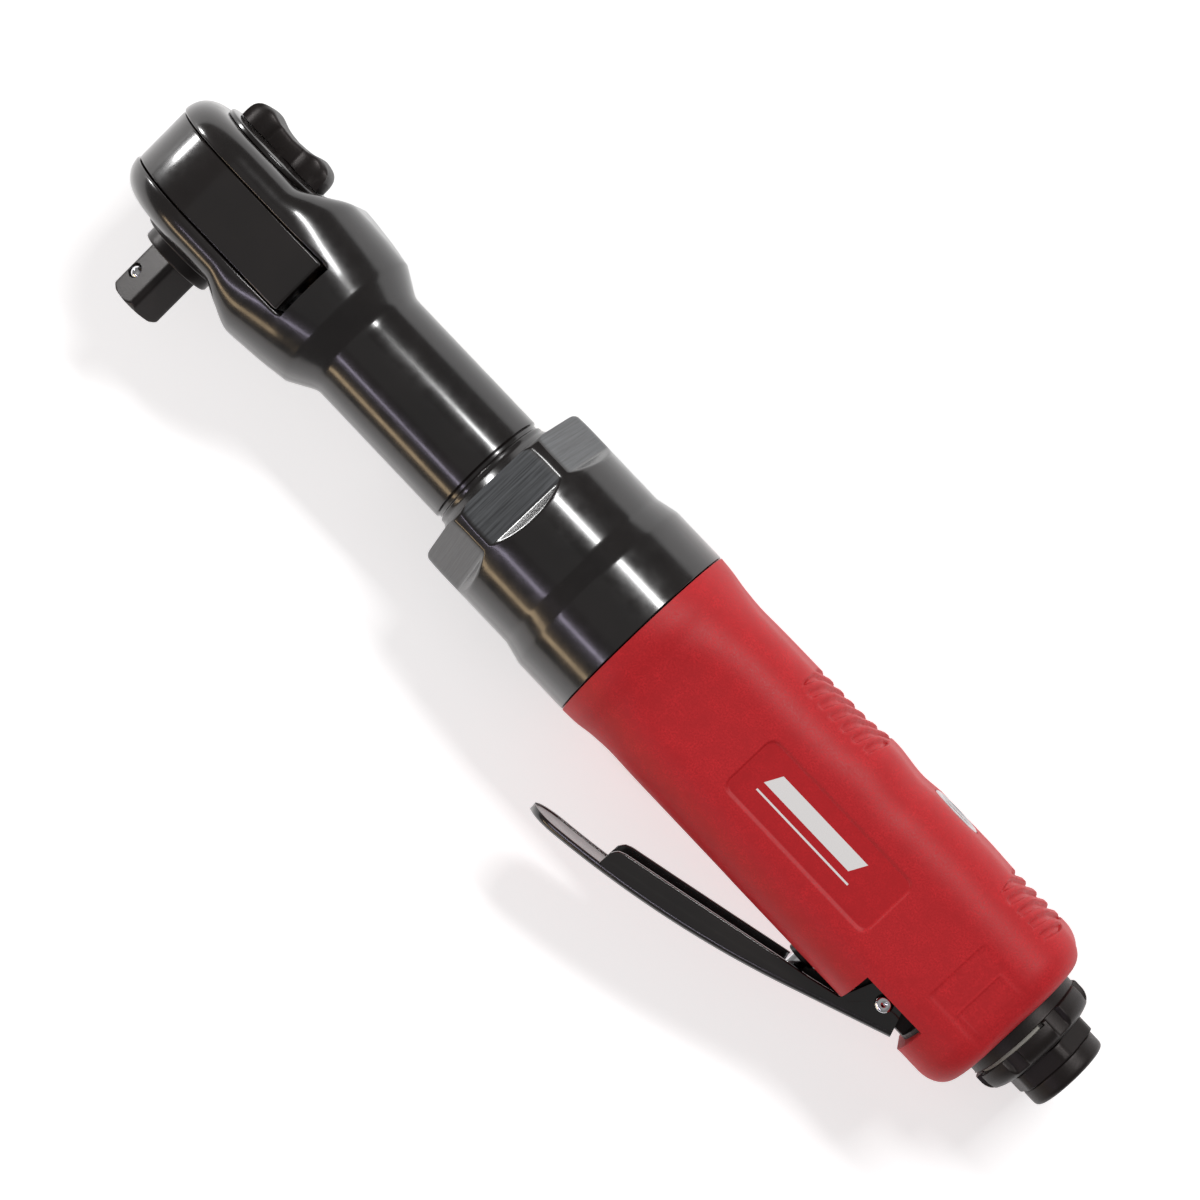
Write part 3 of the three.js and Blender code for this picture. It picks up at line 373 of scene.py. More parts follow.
class Nodes:
    """Adds shader nodes to a material and links them."""

    def __init__(self, name):
        self.material = bpy.data.materials.new(name)
        self.material.use_nodes = True
        self.tree = self.material.node_tree
        self.shader = self.tree.nodes["Principled BSDF"]

    def add(self, kind, inputs=None, **settings):
        node = self.tree.nodes.new(kind)
        for key, value in settings.items():
            setattr(node, key, value)
        for key, value in (inputs or {}).items():
            self.set(node.inputs[key], value)
        return node

    def set(self, socket, value):
        if isinstance(value, bpy.types.NodeSocket):
            self.tree.links.new(value, socket)
        else:
            socket.default_value = value

    def place(self, stretch=(1, 1, 1), turn=(0, 0, 0)):
        """Object coordinates, stretched and turned."""
        source = self.add("ShaderNodeTexCoord")
        mapping = self.add("ShaderNodeMapping", {"Vector": source.outputs["Object"]})
        mapping.inputs["Scale"].default_value = stretch
        mapping.inputs["Rotation"].default_value = turn
        return mapping.outputs["Vector"]

    def noise(self, vector, scale, detail=4, roughness=0.6):
        values = {"Vector": vector, "Scale": scale, "Detail": detail, "Roughness": roughness}
        return self.add("ShaderNodeTexNoise", values).outputs["Fac"]

    def spread(self, factor, low, high, start=0.3, end=0.7):
        """A value between low and high as the factor goes from start to end."""
        values = {"Value": factor, "From Min": start, "From Max": end, "To Min": low, "To Max": high}
        return self.add("ShaderNodeMapRange", values).outputs["Result"]

    def mix(self, factor, first, second):
        node = self.add("ShaderNodeMix", data_type="RGBA")
        for socket, value in zip((node.inputs[0], node.inputs[6], node.inputs[7]), (factor, first, second)):
            self.set(socket, value)
        return node.outputs[2]

    def blend(self, factor, first, second):
        values = {0: factor, 2: first, 3: second}
        node = self.add("ShaderNodeMix", data_type="FLOAT")
        for index, value in values.items():
            self.set(node.inputs[index], value)
        return node.outputs[0]

    def maths(self, operation, first, second):
        return self.add("ShaderNodeMath", {0: first, 1: second}, operation=operation).outputs[0]

    def slab(self, middle, half, slant):
        """1 inside a flat four-sided mark on the label, in millimetres, its ends leaning by the slant."""
        source = self.add("ShaderNodeTexCoord").outputs["Object"]
        axes = self.add("ShaderNodeSeparateXYZ", {0: source}).outputs
        across = self.maths("SUBTRACT", axes[1], (middle[1] + AXIS_Y) * MM)
        lean = self.maths("MULTIPLY", across, slant)
        along = self.maths("SUBTRACT", self.maths("SUBTRACT", axes[0], lean), middle[0] * MM)
        masks = []
        for value, reach in ((along, half[0]), (across, half[1])):
            distance = self.maths("ABSOLUTE", value, 0.0)
            masks.append(self.maths("LESS_THAN", distance, reach * MM))
        return self.maths("MULTIPLY", *masks)

    def attribute(self, name):
        return self.add("ShaderNodeAttribute", attribute_name=name).outputs["Fac"]

    def bump(self, height, depth_mm, strength=1.0, normal=None):
        inputs = {"Height": height, "Distance": depth_mm * MM, "Strength": strength}
        if normal:
            inputs["Normal"] = normal
        return self.add("ShaderNodeBump", inputs).outputs["Normal"]


def shade(colour, factor):
    """The same colour made lighter or darker, with full alpha."""
    return (*(min(1.0, channel * factor) for channel in colour[:3]), 1.0)


def plain_finish(
    name, colour, roughness, metallic, grain_mm, depth_mm, spread=0.25, stretch=(1, 1, 1), **shader
):
    """A finish with two scales of noise: broad tone, and a fine grain in colour, gloss and height."""
    nodes = Nodes(name)
    vector = nodes.place(stretch)
    grain = nodes.noise(vector, 1 / (grain_mm * MM))
    broad = nodes.noise(nodes.place(), 60, detail=3)
    tone = nodes.mix(nodes.spread(broad, 0, 1), shade(colour, 1 - spread), shade(colour, 1 + spread))
    fine = nodes.mix(nodes.spread(grain, 0, 1), shade(colour, 1 - 0.6 * spread), tone)
    nodes.set(nodes.shader.inputs["Base Color"], fine)
    nodes.shader.inputs["Metallic"].default_value = metallic
    gloss = nodes.spread(grain, roughness * 0.85, min(1.0, roughness * 1.2))
    nodes.set(nodes.shader.inputs["Roughness"], gloss)
    nodes.set(nodes.shader.inputs["Normal"], nodes.bump(grain, depth_mm))
    for key, value in shader.items():
        nodes.shader.inputs[key.replace("_", " ")].default_value = value
    return nodes.material


def enamel_finish(name, colour, flats=False):
    """Deep black enamel with a faint ripple. Milled flats, where an attribute says so, show grey
    tool marks that run across the tool."""
    nodes = Nodes(name)
    ripple = nodes.noise(nodes.place(), 260, detail=2)
    broad = nodes.noise(nodes.place(), 45, detail=3)
    base = nodes.mix(nodes.spread(broad, 0, 1), shade(colour, 0.7), shade(colour, 1.35))
    gloss = nodes.spread(ripple, 0.17, 0.25)
    normal = nodes.bump(ripple, 0.012)
    if flats:
        mask = nodes.attribute("flat")
        marks = nodes.noise(nodes.place((2600, 60, 60)), 1.0, detail=6, roughness=0.7)
        streak = nodes.spread(marks, 0, 1, 0.35, 0.65)
        milled = nodes.mix(streak, (0.018, 0.019, 0.021, 1), (0.085, 0.09, 0.095, 1))
        base = nodes.mix(mask, base, milled)
        gloss = nodes.blend(mask, gloss, nodes.spread(marks, 0.32, 0.5))
        normal = nodes.bump(nodes.blend(mask, 0.0, marks), 0.04, normal=normal)
    nodes.set(nodes.shader.inputs["Base Color"], base)
    nodes.set(nodes.shader.inputs["Roughness"], gloss)
    nodes.set(nodes.shader.inputs["Normal"], normal)
    nodes.shader.inputs["Coat Weight"].default_value = 0.3
    nodes.shader.inputs["Coat Roughness"].default_value = 0.1
    nodes.shader.inputs["Specular IOR Level"].default_value = 0.55
    return nodes.material


def grip_finish(name, colour):
    """Moulded red composite: a fine stipple in colour and height, smoother in the label panel."""
    nodes = Nodes(name)
    stipple = nodes.noise(nodes.place(), 2600, detail=3, roughness=0.65)
    cloud = nodes.noise(nodes.place(), 320, detail=4)
    panel = nodes.attribute("panel")
    speckle = nodes.mix(nodes.spread(stipple, 0, 1, 0.38, 0.62), shade(colour, 0.8), shade(colour, 1.16))
    red = nodes.mix(nodes.spread(cloud, 0, 1), shade(colour, 0.86), speckle)
    red = nodes.mix(nodes.blend(panel, 0.0, 0.35), red, shade(colour, 0.8))
    bar = nodes.slab((181, 1.3), (12.5, 1.9), 0.5)
    rule = nodes.slab((181, -2.6), (13.5, 0.22), 0.0)
    printed = nodes.maths("MULTIPLY", nodes.maths("MAXIMUM", bar, rule), panel)
    red = nodes.mix(printed, red, (0.78, 0.77, 0.76, 1))
    nodes.set(nodes.shader.inputs["Base Color"], red)
    gloss = nodes.spread(stipple, 0.42, 0.6)
    nodes.set(nodes.shader.inputs["Roughness"], nodes.blend(panel, gloss, 0.38))
    height = nodes.blend(panel, stipple, 0.5)
    nodes.set(nodes.shader.inputs["Normal"], nodes.bump(height, 0.035))
    nodes.shader.inputs["Specular IOR Level"].default_value = 0.25
    return nodes.material


def build_finishes(colours):
    """Every material of the tool, by the name that the pieces use."""
    steel = tuple(colours.steel)
    black = tuple(colours.enamel)
    return {
        "enamel": enamel_finish("black_enamel", black),
        "nut": enamel_finish("black_enamel_with_milled_flats", black, flats=True),
        "grip": grip_finish("red_grip", tuple(colours.grip)),
        "oxide": plain_finish("black_oxide_steel", shade(black, 1.6), 0.34, 0.35, 0.35, 0.012),
        "cast": plain_finish("black_cast_metal", shade(black, 2.2), 0.42, 0.5, 0.28, 0.03),
        "steel": plain_finish(
            "ground_steel", steel, 0.3, 1.0, 0.6, 0.004, stretch=(0.2, 1, 1), Anisotropic=0.4
        ),
        "bright": plain_finish("polished_steel", (0.78, 0.78, 0.8), 0.09, 1.0, 0.8, 0.002, spread=0.05),
        "dial": plain_finish("turned_zinc", (0.55, 0.56, 0.57), 0.27, 1.0, 0.4, 0.006, spread=0.12),
        "bronze": plain_finish("sintered_bronze", (0.4, 0.23, 0.09), 0.4, 1.0, 0.2, 0.01),
        "alloy": plain_finish("cast_alloy", (0.32, 0.33, 0.34), 0.45, 0.9, 0.3, 0.02),
        "vane": plain_finish("vane_composite", (0.15, 0.08, 0.04), 0.7, 0.0, 0.25, 0.01, stretch=(0.1, 1, 1)),
        "rubber": plain_finish("seal_rubber", (0.012, 0.012, 0.012), 0.6, 0.0, 0.3, 0.004),
        "felt": plain_finish(
            "muffler_felt", (0.42, 0.4, 0.35), 0.95, 0.0, 0.12, 0.15, Sheen_Weight=0.5, Sheen_Roughness=0.6
        ),
    }


FINISHES = {}


# ---------- ratchet head ----------


def quarter_outline(a, b, r):
    """A quarter of a rounded rectangle with half sizes a (y) and b (z) and corner radius r, as many
    points from the middle of its y side round the corner to the middle of its z side."""
    turn = np.linspace(0, np.pi / 2, 91)
    corner = np.stack([a - r + r * np.cos(turn), b - r + r * np.sin(turn)], axis=-1)
    return dense(np.concatenate([[[a, 0]], corner, [[0, b]]]), 0.2)


def walked(path, distances):
    """Points on a path at the given distances along it."""
    reach = np.concatenate([[0], np.cumsum(np.linalg.norm(np.diff(path, axis=0), axis=1))])
    return np.stack([np.interp(distances, reach, path[:, k]) for k in range(path.shape[1])], axis=-1)


def head_section(x):
    """A quarter of the head's section at a station, split at the slot's edge: the cheek's skin down
    to that edge, which is rounded where the slot is open, and the band across the slot."""
    knots = [0, 10, 15.25, 20.5, SLOT_ROOT, SHOULDER_END]
    end = SHOULDER_END_RADIUS
    a = smooth(x, knots, [CHEEK, CHEEK, 16.2, 19.1, 18.75, end])
    b = smooth(x, knots, [NOSE, NOSE, 21.1, 20.6, 19.6, end])
    r = smooth(x, knots, [CHEEK_ROUND, CHEEK_ROUND, 9.5, 15, 17.2, end])
    path = quarter_outline(a, b, min(r, a, b))
    reach = np.concatenate([[0], np.cumsum(np.linalg.norm(np.diff(path, axis=0), axis=1))])
    at_height = lambda y: np.interp(-y, -path[:, 0], reach)
    near, edge = at_height(SLOT_HALF + SLOT_EDGE), at_height(SLOT_HALF)
    skin = walked(path, np.linspace(0, near, 46))
    lip = walked(path, np.linspace(near, edge, 6)[1:])
    turn = np.linspace(0, np.pi / 2, 6)[1:]
    top = skin[-1, 1]
    sunk = np.stack(
        [
            SLOT_HALF + SLOT_EDGE * (1 - np.sin(turn)),
            top - SLOT_EDGE * (1 - np.cos(turn)),
        ],
        axis=-1,
    )
    open_slot = step_up(SLOT_ROOT - 0.2 - x, 0, 1.5)
    skin = np.concatenate([skin, lip * (1 - open_slot) + sunk * open_slot])
    band = walked(path, np.linspace(edge, reach[-1], 9))
    band = np.concatenate([band, band[-2::-1] * [-1, 1]])
    return skin, band


def head_patches():
    """The head's skin. Its nose is the cheek's section turned about the drive's axis, its body is the
    same section carried along x, and its neck is a circle whose radius follows a profile."""
    stations = np.concatenate(
        [
            np.linspace(0, 10, 12),
            np.linspace(10, 26.5, 34)[1:],
            np.linspace(26.5, SLOT_ROOT, 7)[1:],
            np.linspace(SLOT_ROOT, SHOULDER_END, 14)[1:],
        ]
    )
    sections = [head_section(x) for x in stations]
    skins = np.stack([skin for skin, _ in sections])
    bands = np.stack([band for _, band in sections])
    open_rows = int(np.argmin(np.abs(stations - SLOT_ROOT))) + 1
    tail = rounded(
        [
            (SHOULDER_END, SHOULDER_END_RADIUS, 0),
            (NECK_FROM - 0.1, NECK_RADIUS, 1.2),
            (79, NECK_RADIUS, 0.15),
            (79.4, NECK_RADIUS - 0.5, 0.15),
            (80.2, NECK_RADIUS - 0.5, 0.15),
            (80.6, NECK_RADIUS, 0.15),
            (81.5, NECK_RADIUS, 0.4),
            (84.5, 16.5, 0.5),
            (88, 16.5, 0.2),
            (88, 17.5, 0.2),
            (HEAD_HIGH[0], 17.5, 0.3),
            (HEAD_HIGH[0], 0, 0),
        ]
    )
    tail = dense(tail, 1.0)
    scale = (tail[:, 1] / SHOULDER_END_RADIUS)[:, None, None]
    across = np.linspace(1, -1, 9)
    patches = []

    def placed(x, flat):
        return np.concatenate([x[:, None, None] + 0 * flat[..., :1], flat], axis=-1)

    alpha = np.linspace(0, np.pi, 73)[:, None]
    for side in (1, -1):
        both = np.concatenate([skins[:, ::-1] * [1, -1], skins[:, 1:]], axis=1) * [side, 1]
        patches.append((placed(stations, both), False))
        patches.append((placed(tail[:, 0], both[-1] * scale), False))
        edge = skins[:open_rows, -1]
        wall = np.stack([edge[:, :1] * side + 0 * across, edge[:, 1:] * across], axis=-1)
        patches.append((placed(stations[:open_rows], wall), False))
        meridian = np.concatenate([skins[0], skins[0, -1] * [[1, t] for t in across[1:5]]])
        y, z = meridian[:, 0] * side, meridian[:, 1]
        nose = np.stack([-z * np.sin(alpha), y + 0 * alpha, z * np.cos(alpha)], axis=-1)
        patches.append((nose, False))
        rear = bands[open_rows - 1 :] * [1, side]
        patches.append((placed(stations[open_rows - 1 :], rear), False))
        patches.append((placed(tail[:, 0], rear[-1] * scale), False))
    root = bands[open_rows - 1]
    face = np.stack([root[:, 0] + 0 * across[:, None], root[:, 1] * across[:, None]], axis=-1)
    patches.append((placed(np.full(len(across), SLOT_ROOT), face), False))
    return patches


def build_housing():
    """Head, neck and flange in one skin, then the bores for the anvil, its bushing and the crank."""
    crank_bore = dense(
        np.array(
            [
                [27, 0],
                [27, 8.4],
                [45.85, 8.4],
                [45.85, 10.44],
                [87, 10.44],
                [87, 15.1],
                [93, 15.1],
                [93, 0],
            ],
            float,
        ),
        8,
    )
    cuts = [
        turned(crank_bore, full_turn(72)),
        rod_grid(12.78, 3, 24, "y", count=96),
        rod_grid(14.45, CHEEK + 0.02, 26, "y", count=120),
        rod_grid(9.64, -24, -3, "y", count=96),
        rod_grid(10.54, -26, -CHEEK - 0.02, "y", count=96),
    ]
    make_piece("head_casting", head_patches(), FINISHES["enamel"], "ratchet_housing", cuts)


def stadium(radius, rear, step=0.9):
    """Plan outline (x, z) of the yoke: a half circle at the nose, then sides that draw in a little to
    meet the shoulder at the rear."""
    turn = np.linspace(np.pi / 2, 1.5 * np.pi, int(np.pi * radius / step))
    nose = np.stack([radius * np.cos(turn), radius * np.sin(turn)], axis=-1)
    end = radius - YOKE_DRAW
    corners = [(0, -radius, 0), (YOKE_BEND, -radius, 6), (rear, -end, 1)]
    corners += [(rear, end, 1), (YOKE_BEND, radius, 6), (0, radius, 0)]
    return np.concatenate([nose, dense(rounded(corners), step)[1:-1]])


def build_yoke():
    """The yoke's plan outline carried across its thickness, drawn in by a quarter circle at each edge."""
    half, edge = YOKE_HIGH[1], 0.5
    turn = np.linspace(0, np.pi / 2, 6)
    inset = np.concatenate([edge * (1 - np.sin(turn)), edge * (1 - np.cos(turn))])
    level = np.concatenate([half - edge * (1 - np.cos(turn)), -half + edge * (1 - np.sin(turn))])
    outline = stadium(YOKE_HIGH[2], YOKE_HIGH[0])
    rim = [outline * (1 - gap / YOKE_HIGH[2]) for gap in inset]
    rows = [outline * 0, rim[0] * 0.6, *rim, rim[-1] * 0.6, outline * 0]
    heights = [half, half, *level, -half, -half]
    grid = np.stack([np.stack([r[:, 0], 0 * r[:, 0] + h, r[:, 1]], axis=-1) for r, h in zip(rows, heights)])
    tooth = full_turn(96)
    reach = np.where(np.arange(96) % 2, 14.0, 13.1)
    teeth = np.stack([reach * np.cos(tooth), reach * np.sin(tooth)], axis=-1)
    cuts = [prism_grid(teeth, -9, 9), block_grid((19.8, 32), (-9, 9), (-8.15, 8.15))]
    make_piece("drive_yoke", [(grid, True)], FINISHES["enamel"], "ratchet_yoke", cuts)


def flatted(limit, count, first, blend=0.25):
    """A radius rule that cuts `count` flats round a turned shape. `limit` gives the flat's distance
    from the axis at each station, and `first` is the angle of the first flat's normal."""
    sector = 2 * np.pi / count

    def rule(station, reach, angles):
        off = (angles - first + sector / 2) % sector - sector / 2
        return soft_min(reach, limit(station) / np.cos(off), blend)

    return rule


def flat_angles(profile, limit, count, first, per_side=7):
    """Angles round the shape at each station, gathered at the two edges of every flat so that the
    edges run along the grid."""
    sector = 2 * np.pi / count
    ratio = np.clip(limit(profile[:, 0]) / np.maximum(profile[:, 1], 1e-6), -1, 1)
    edge = np.clip(np.arccos(ratio), 0.02, 0.92 * sector / 2)[:, None]
    gather = np.linspace(0, 1, per_side + 1) ** 0.6
    inside = edge * gather
    outside = sector / 2 - (sector / 2 - edge) * gather[::-1][1:]
    half = np.concatenate([inside, outside], axis=1)
    whole = np.concatenate([-half[:, :0:-1], half[:, :-1]], axis=1)
    return np.concatenate([first + k * sector + whole for k in range(count)], axis=1)


def build_anvil():
    """The square drive: a turned profile with four flats and its collar, then the pockets inside."""
    end = ANVIL_LOW[1]
    profile = rounded(
        [
            (end, 0, 0),
            (end, 5.1, 0.3),
            (end + 0.9, 6.15, 0.4),
            (-18.0, 6.15, 0),
            (-17.9, 6.6, 0),
            (-17.9, 8.5, 0.5),
            (-6.2, 8.5, 0),
            (-6.2, 12.7, 0.3),
            (ANVIL_HIGH[1], 12.7, 0.3),
            (ANVIL_HIGH[1], 0, 0),
        ]
    )
    profile = dense(profile, 0.7)
    limit = lambda station: np.where(station < -17.95, DRIVE_HALF, 90.0)
    first = np.pi / 2 - DRIVE_ANGLE
    angles = flat_angles(profile, limit, 4, first)
    grid = turned(profile, angles, "y", radius=flatted(limit, 4, first, 0.3))
    pocket = [(-5, -3.9), (-7.2, -8.6), (-14, -9.6), (-14, 9.6), (-7.2, 8.6), (-5, 3.9)]
    ball = ball_hole(1.75, -1.6, 9)
    cuts = [
        rod_grid(4.08, -3.5, 15, "y"),
        prism_grid(pocket, -5.6, 5.6),
        block_grid((-6.5, -2.5), (-1.8, 1.8), (-4.2, 4.2)),
        rod_grid(1.54, -6, 15, "y", (-8.2, 0, 0), count=32),
        ball,
    ]
    make_piece("square_drive", [(grid, True)], FINISHES["oxide"], "anvil", cuts)


def ball_hole(radius, start, end):
    """A round hole along the detent ball's line, 25 mm out on the square."""
    grid = rod_grid(radius, start, end, "z", count=40)
    along = np.array([-math.cos(DRIVE_ANGLE), 0, math.sin(DRIVE_ANGLE)])
    across = np.array([math.sin(DRIVE_ANGLE), 0, math.cos(DRIVE_ANGLE)])
    up = np.array([0.0, 1.0, 0.0])
    return grid[..., :1] * across + grid[..., 1:2] * up + grid[..., 2:] * along + [0, -25, 0]


def build_ball():
    """A ball: a half circle turned about the drive's direction."""
    low, high = box_mm("drive_detent_ball")
    centre, radius = (low + high) / 2, (high[1] - low[1]) / 2
    turn = np.linspace(0, np.pi, 33)
    profile = np.stack([-radius * np.cos(turn), radius * np.sin(turn)], axis=-1)
    grid = turned(profile, full_turn(48), "y", centre)
    make_piece("detent_ball", [(grid, True)], FINISHES["bright"], "drive_detent_ball")


def build_bushing():
    """The flanged ring round the anvil's journal, and the plate that closes the bore above."""
    low, high = box_mm("anvil_bushing")
    ring = [
        (high[1], 8.58, 0.1),
        (high[1], 9.6, 0.1),
        (-CHEEK - 0.05, 9.6, 0),
        (-CHEEK - 0.05, 10.5, 0.15),
        (low[1], 10.5, 0.5),
        (low[1], 8.58, 0.3),
    ]
    grid = turned(dense(rounded(ring, True), 0.8), full_turn(128), "y")
    make_piece("anvil_ring", [(grid, True, True)], FINISHES["oxide"], "anvil_bushing")
    plate = [
        (COVER_LOW[1], 4.1, 0),
        (COVER_LOW[1], COVER_HIGH[0], 0.15),
        (COVER_HIGH[1] - 0.45, COVER_HIGH[0], 0.4),
        (COVER_HIGH[1] - 0.1, COVER_HIGH[0] - 1.5, 0.8),
        (COVER_HIGH[1], 4.1, 0.2),
    ]
    grid = turned(dense(rounded(plate, True), 0.5), full_turn(144), "y")
    make_piece("cover_plate", [(grid, True, True)], FINISHES["enamel"], "bore_cover")


def build_knob():
    """The reversing knob: a two-lobed plan whose top rises over each lobe and dips at the waist and
    the ends. The height falls to the rim as a superellipse, and a stem reaches down into the anvil."""
    half, lobe = KNOB_HIGH[0], KNOB_HIGH[2]
    foot = COVER_HIGH[1] + 0.12
    turn = full_turn(192)
    middle = half - lobe
    # The outline is the far side of two circles, eased to a waist between them.
    along = np.abs(np.cos(turn))
    inside = np.maximum(lobe**2 - (middle * np.sin(turn)) ** 2, 0)
    circle = middle * along + np.sqrt(inside)
    waist = 3.9 / np.maximum(np.abs(np.sin(turn)), 0.2)
    outline = np.where(inside > 0, circle, 0)
    outline = -soft_min(-outline, -waist, 1.2)
    outline = np.minimum(outline, half)
    share = np.sin(np.linspace(0, np.pi / 2, 34))[:, None]
    x, z = share * outline * np.cos(turn), share * outline * np.sin(turn)
    places = [0, 3.6, 7.4, 9.8, 11.4, half]
    heights = [4.1, 4.45, 5.45, 5.1, 4.55, 4.3]
    rise = smooth(np.abs(x).ravel(), places, heights).reshape(x.shape)
    top = foot + rise * (1 - share**12) ** (1 / 4)
    upper = np.stack([x, top, z], axis=-1)
    skirt = np.stack([x[-1], 0 * x[-1] + foot, z[-1]], axis=-1)
    base = np.stack([upper[-1] * [1, 0, 1] + [0, foot, 0], skirt * [0, 1, 0]])
    stem = rod_grid(4, -3, foot + 1, "y", count=64)
    turn_at = math.radians(205)
    plunger = rod_grid(1.28, -2.5, 5, "z", count=32)
    out = np.array([math.cos(turn_at), 0, math.sin(turn_at)])
    side = np.array([-math.sin(turn_at), 0, math.cos(turn_at)])
    plunger = plunger[..., :1] * side + plunger[..., 1:2] * [0, 1, 0] + plunger[..., 2:] * out
    patches = [(np.concatenate([upper, base]), True)]
    make_piece("reversing_knob", patches, FINISHES["cast"], "reverse_knob", [plunger], [stem], crease=50)


# ---------- handle ----------


def build_nut():
    """The clamp nut: a turned profile with six wrench flats that end in sloping run-outs."""
    flat, flat_end = 19.7, 93.5
    start, end = NUT_LOW[0], NUT_HIGH[0]
    profile = rounded(
        [
            (start, 16.9, 0.1),
            (start, 21.3, 0.4),
            (start + 0.7, 21.95, 0.5),
            (87.5, 22.1, 1.6),
            (108.8, 22.1, 0.5),
            (113.9, 23.3, 0.5),
            (end, 23.3, 0.25),
            (end, 19.9, 0),
            (96.9, 19.9, 0),
            (96.9, 17.7, 0),
            (87.85, 17.7, 0),
            (87.85, 16.9, 0),
        ],
        closed=True,
        pieces=7,
    )
    profile = dense(profile, 0.45)
    limit = lambda station: flat + np.maximum(station - flat_end, 0)
    first = math.radians(90 - 6.5)
    rule = flatted(limit, 6, first, 0.35)
    grid = turned(profile, flat_angles(profile, limit, 6, first, 9), radius=rule)
    nut = make_piece("clamp_nut_body", [(grid, True, True)], FINISHES["nut"], "clamp_nut", crease=50)
    points = vertex_points(nut)
    reach = np.hypot(points[:, 1], points[:, 2])
    angle = np.arctan2(points[:, 2], points[:, 1])
    off = (angle - first + np.pi / 6) % (np.pi / 3) - np.pi / 6
    on_flat = np.abs(reach * np.cos(off) - flat) < 0.03
    paint(nut, "flat", np.where(on_flat & (points[:, 0] < flat_end + 0.1), 1.0, 0.0))


JACKET_X = [127.5, 131, 136, 142, 150, 158, 172, 181.5, 190, 196, 210, 218, 228]
JACKET_Y = [0, 0, 0.1, 0.2, 0.25, 0.27, 0.3, 0.7, 0.35, 0.6, 0.6, 0.7, 1.1]
JACKET_A = [23.3, 22.9, 22.0, 21.4, 21.45, 21.47, 21.5, 21.95, 21.6, 21.85, 21.85, 21.5, 21.3]
JACKET_B = [23.3, 22.7, 21.1, 20.1, 20, 20, 20, 20, 20, 20, 20, 20, 20]
JACKET_R = [23.3, 21, 17.5, 14, 13, 13, 13, 13, 13, 13, 13, 13, 13.5]


def jacket_section(x, corner_count, flat_count):
    """The jacket's outline across x: a rounded rectangle whose flats and corners keep their own share
    of the columns, so that the label's edges run along the grid."""
    y, a, b, r = (smooth(x, JACKET_X, v) for v in (JACKET_Y, JACKET_A, JACKET_B, JACKET_R))
    r = np.minimum(r, np.minimum(a, b) - 1e-3)
    columns = []
    flat = np.linspace(-1, 1, flat_count, endpoint=False)
    turn = np.linspace(0, np.pi / 2, corner_count, endpoint=False)
    y, a, b, r = (value[:, None] for value in (y, a, b, r))
    for quarter, (sy, sz) in enumerate([(1, 1), (-1, 1), (-1, -1), (1, -1)]):
        angle = turn + quarter * np.pi / 2
        corner_y = y + sy * (a - r) + r * np.cos(angle)
        corner_z = sz * (b - r) + r * np.sin(angle)
        columns.append(np.stack([corner_y, corner_z], axis=-1))
        if quarter % 2 == 0:
            side_y = y - sz * (a - r) * flat
            side_z = sz * b + 0 * side_y
        else:
            side_z = sy * (b - r) * flat
            side_y = y + sy * a + 0 * side_z
        columns.append(np.stack([side_y, side_z], axis=-1))
    return np.concatenate(columns, axis=1)


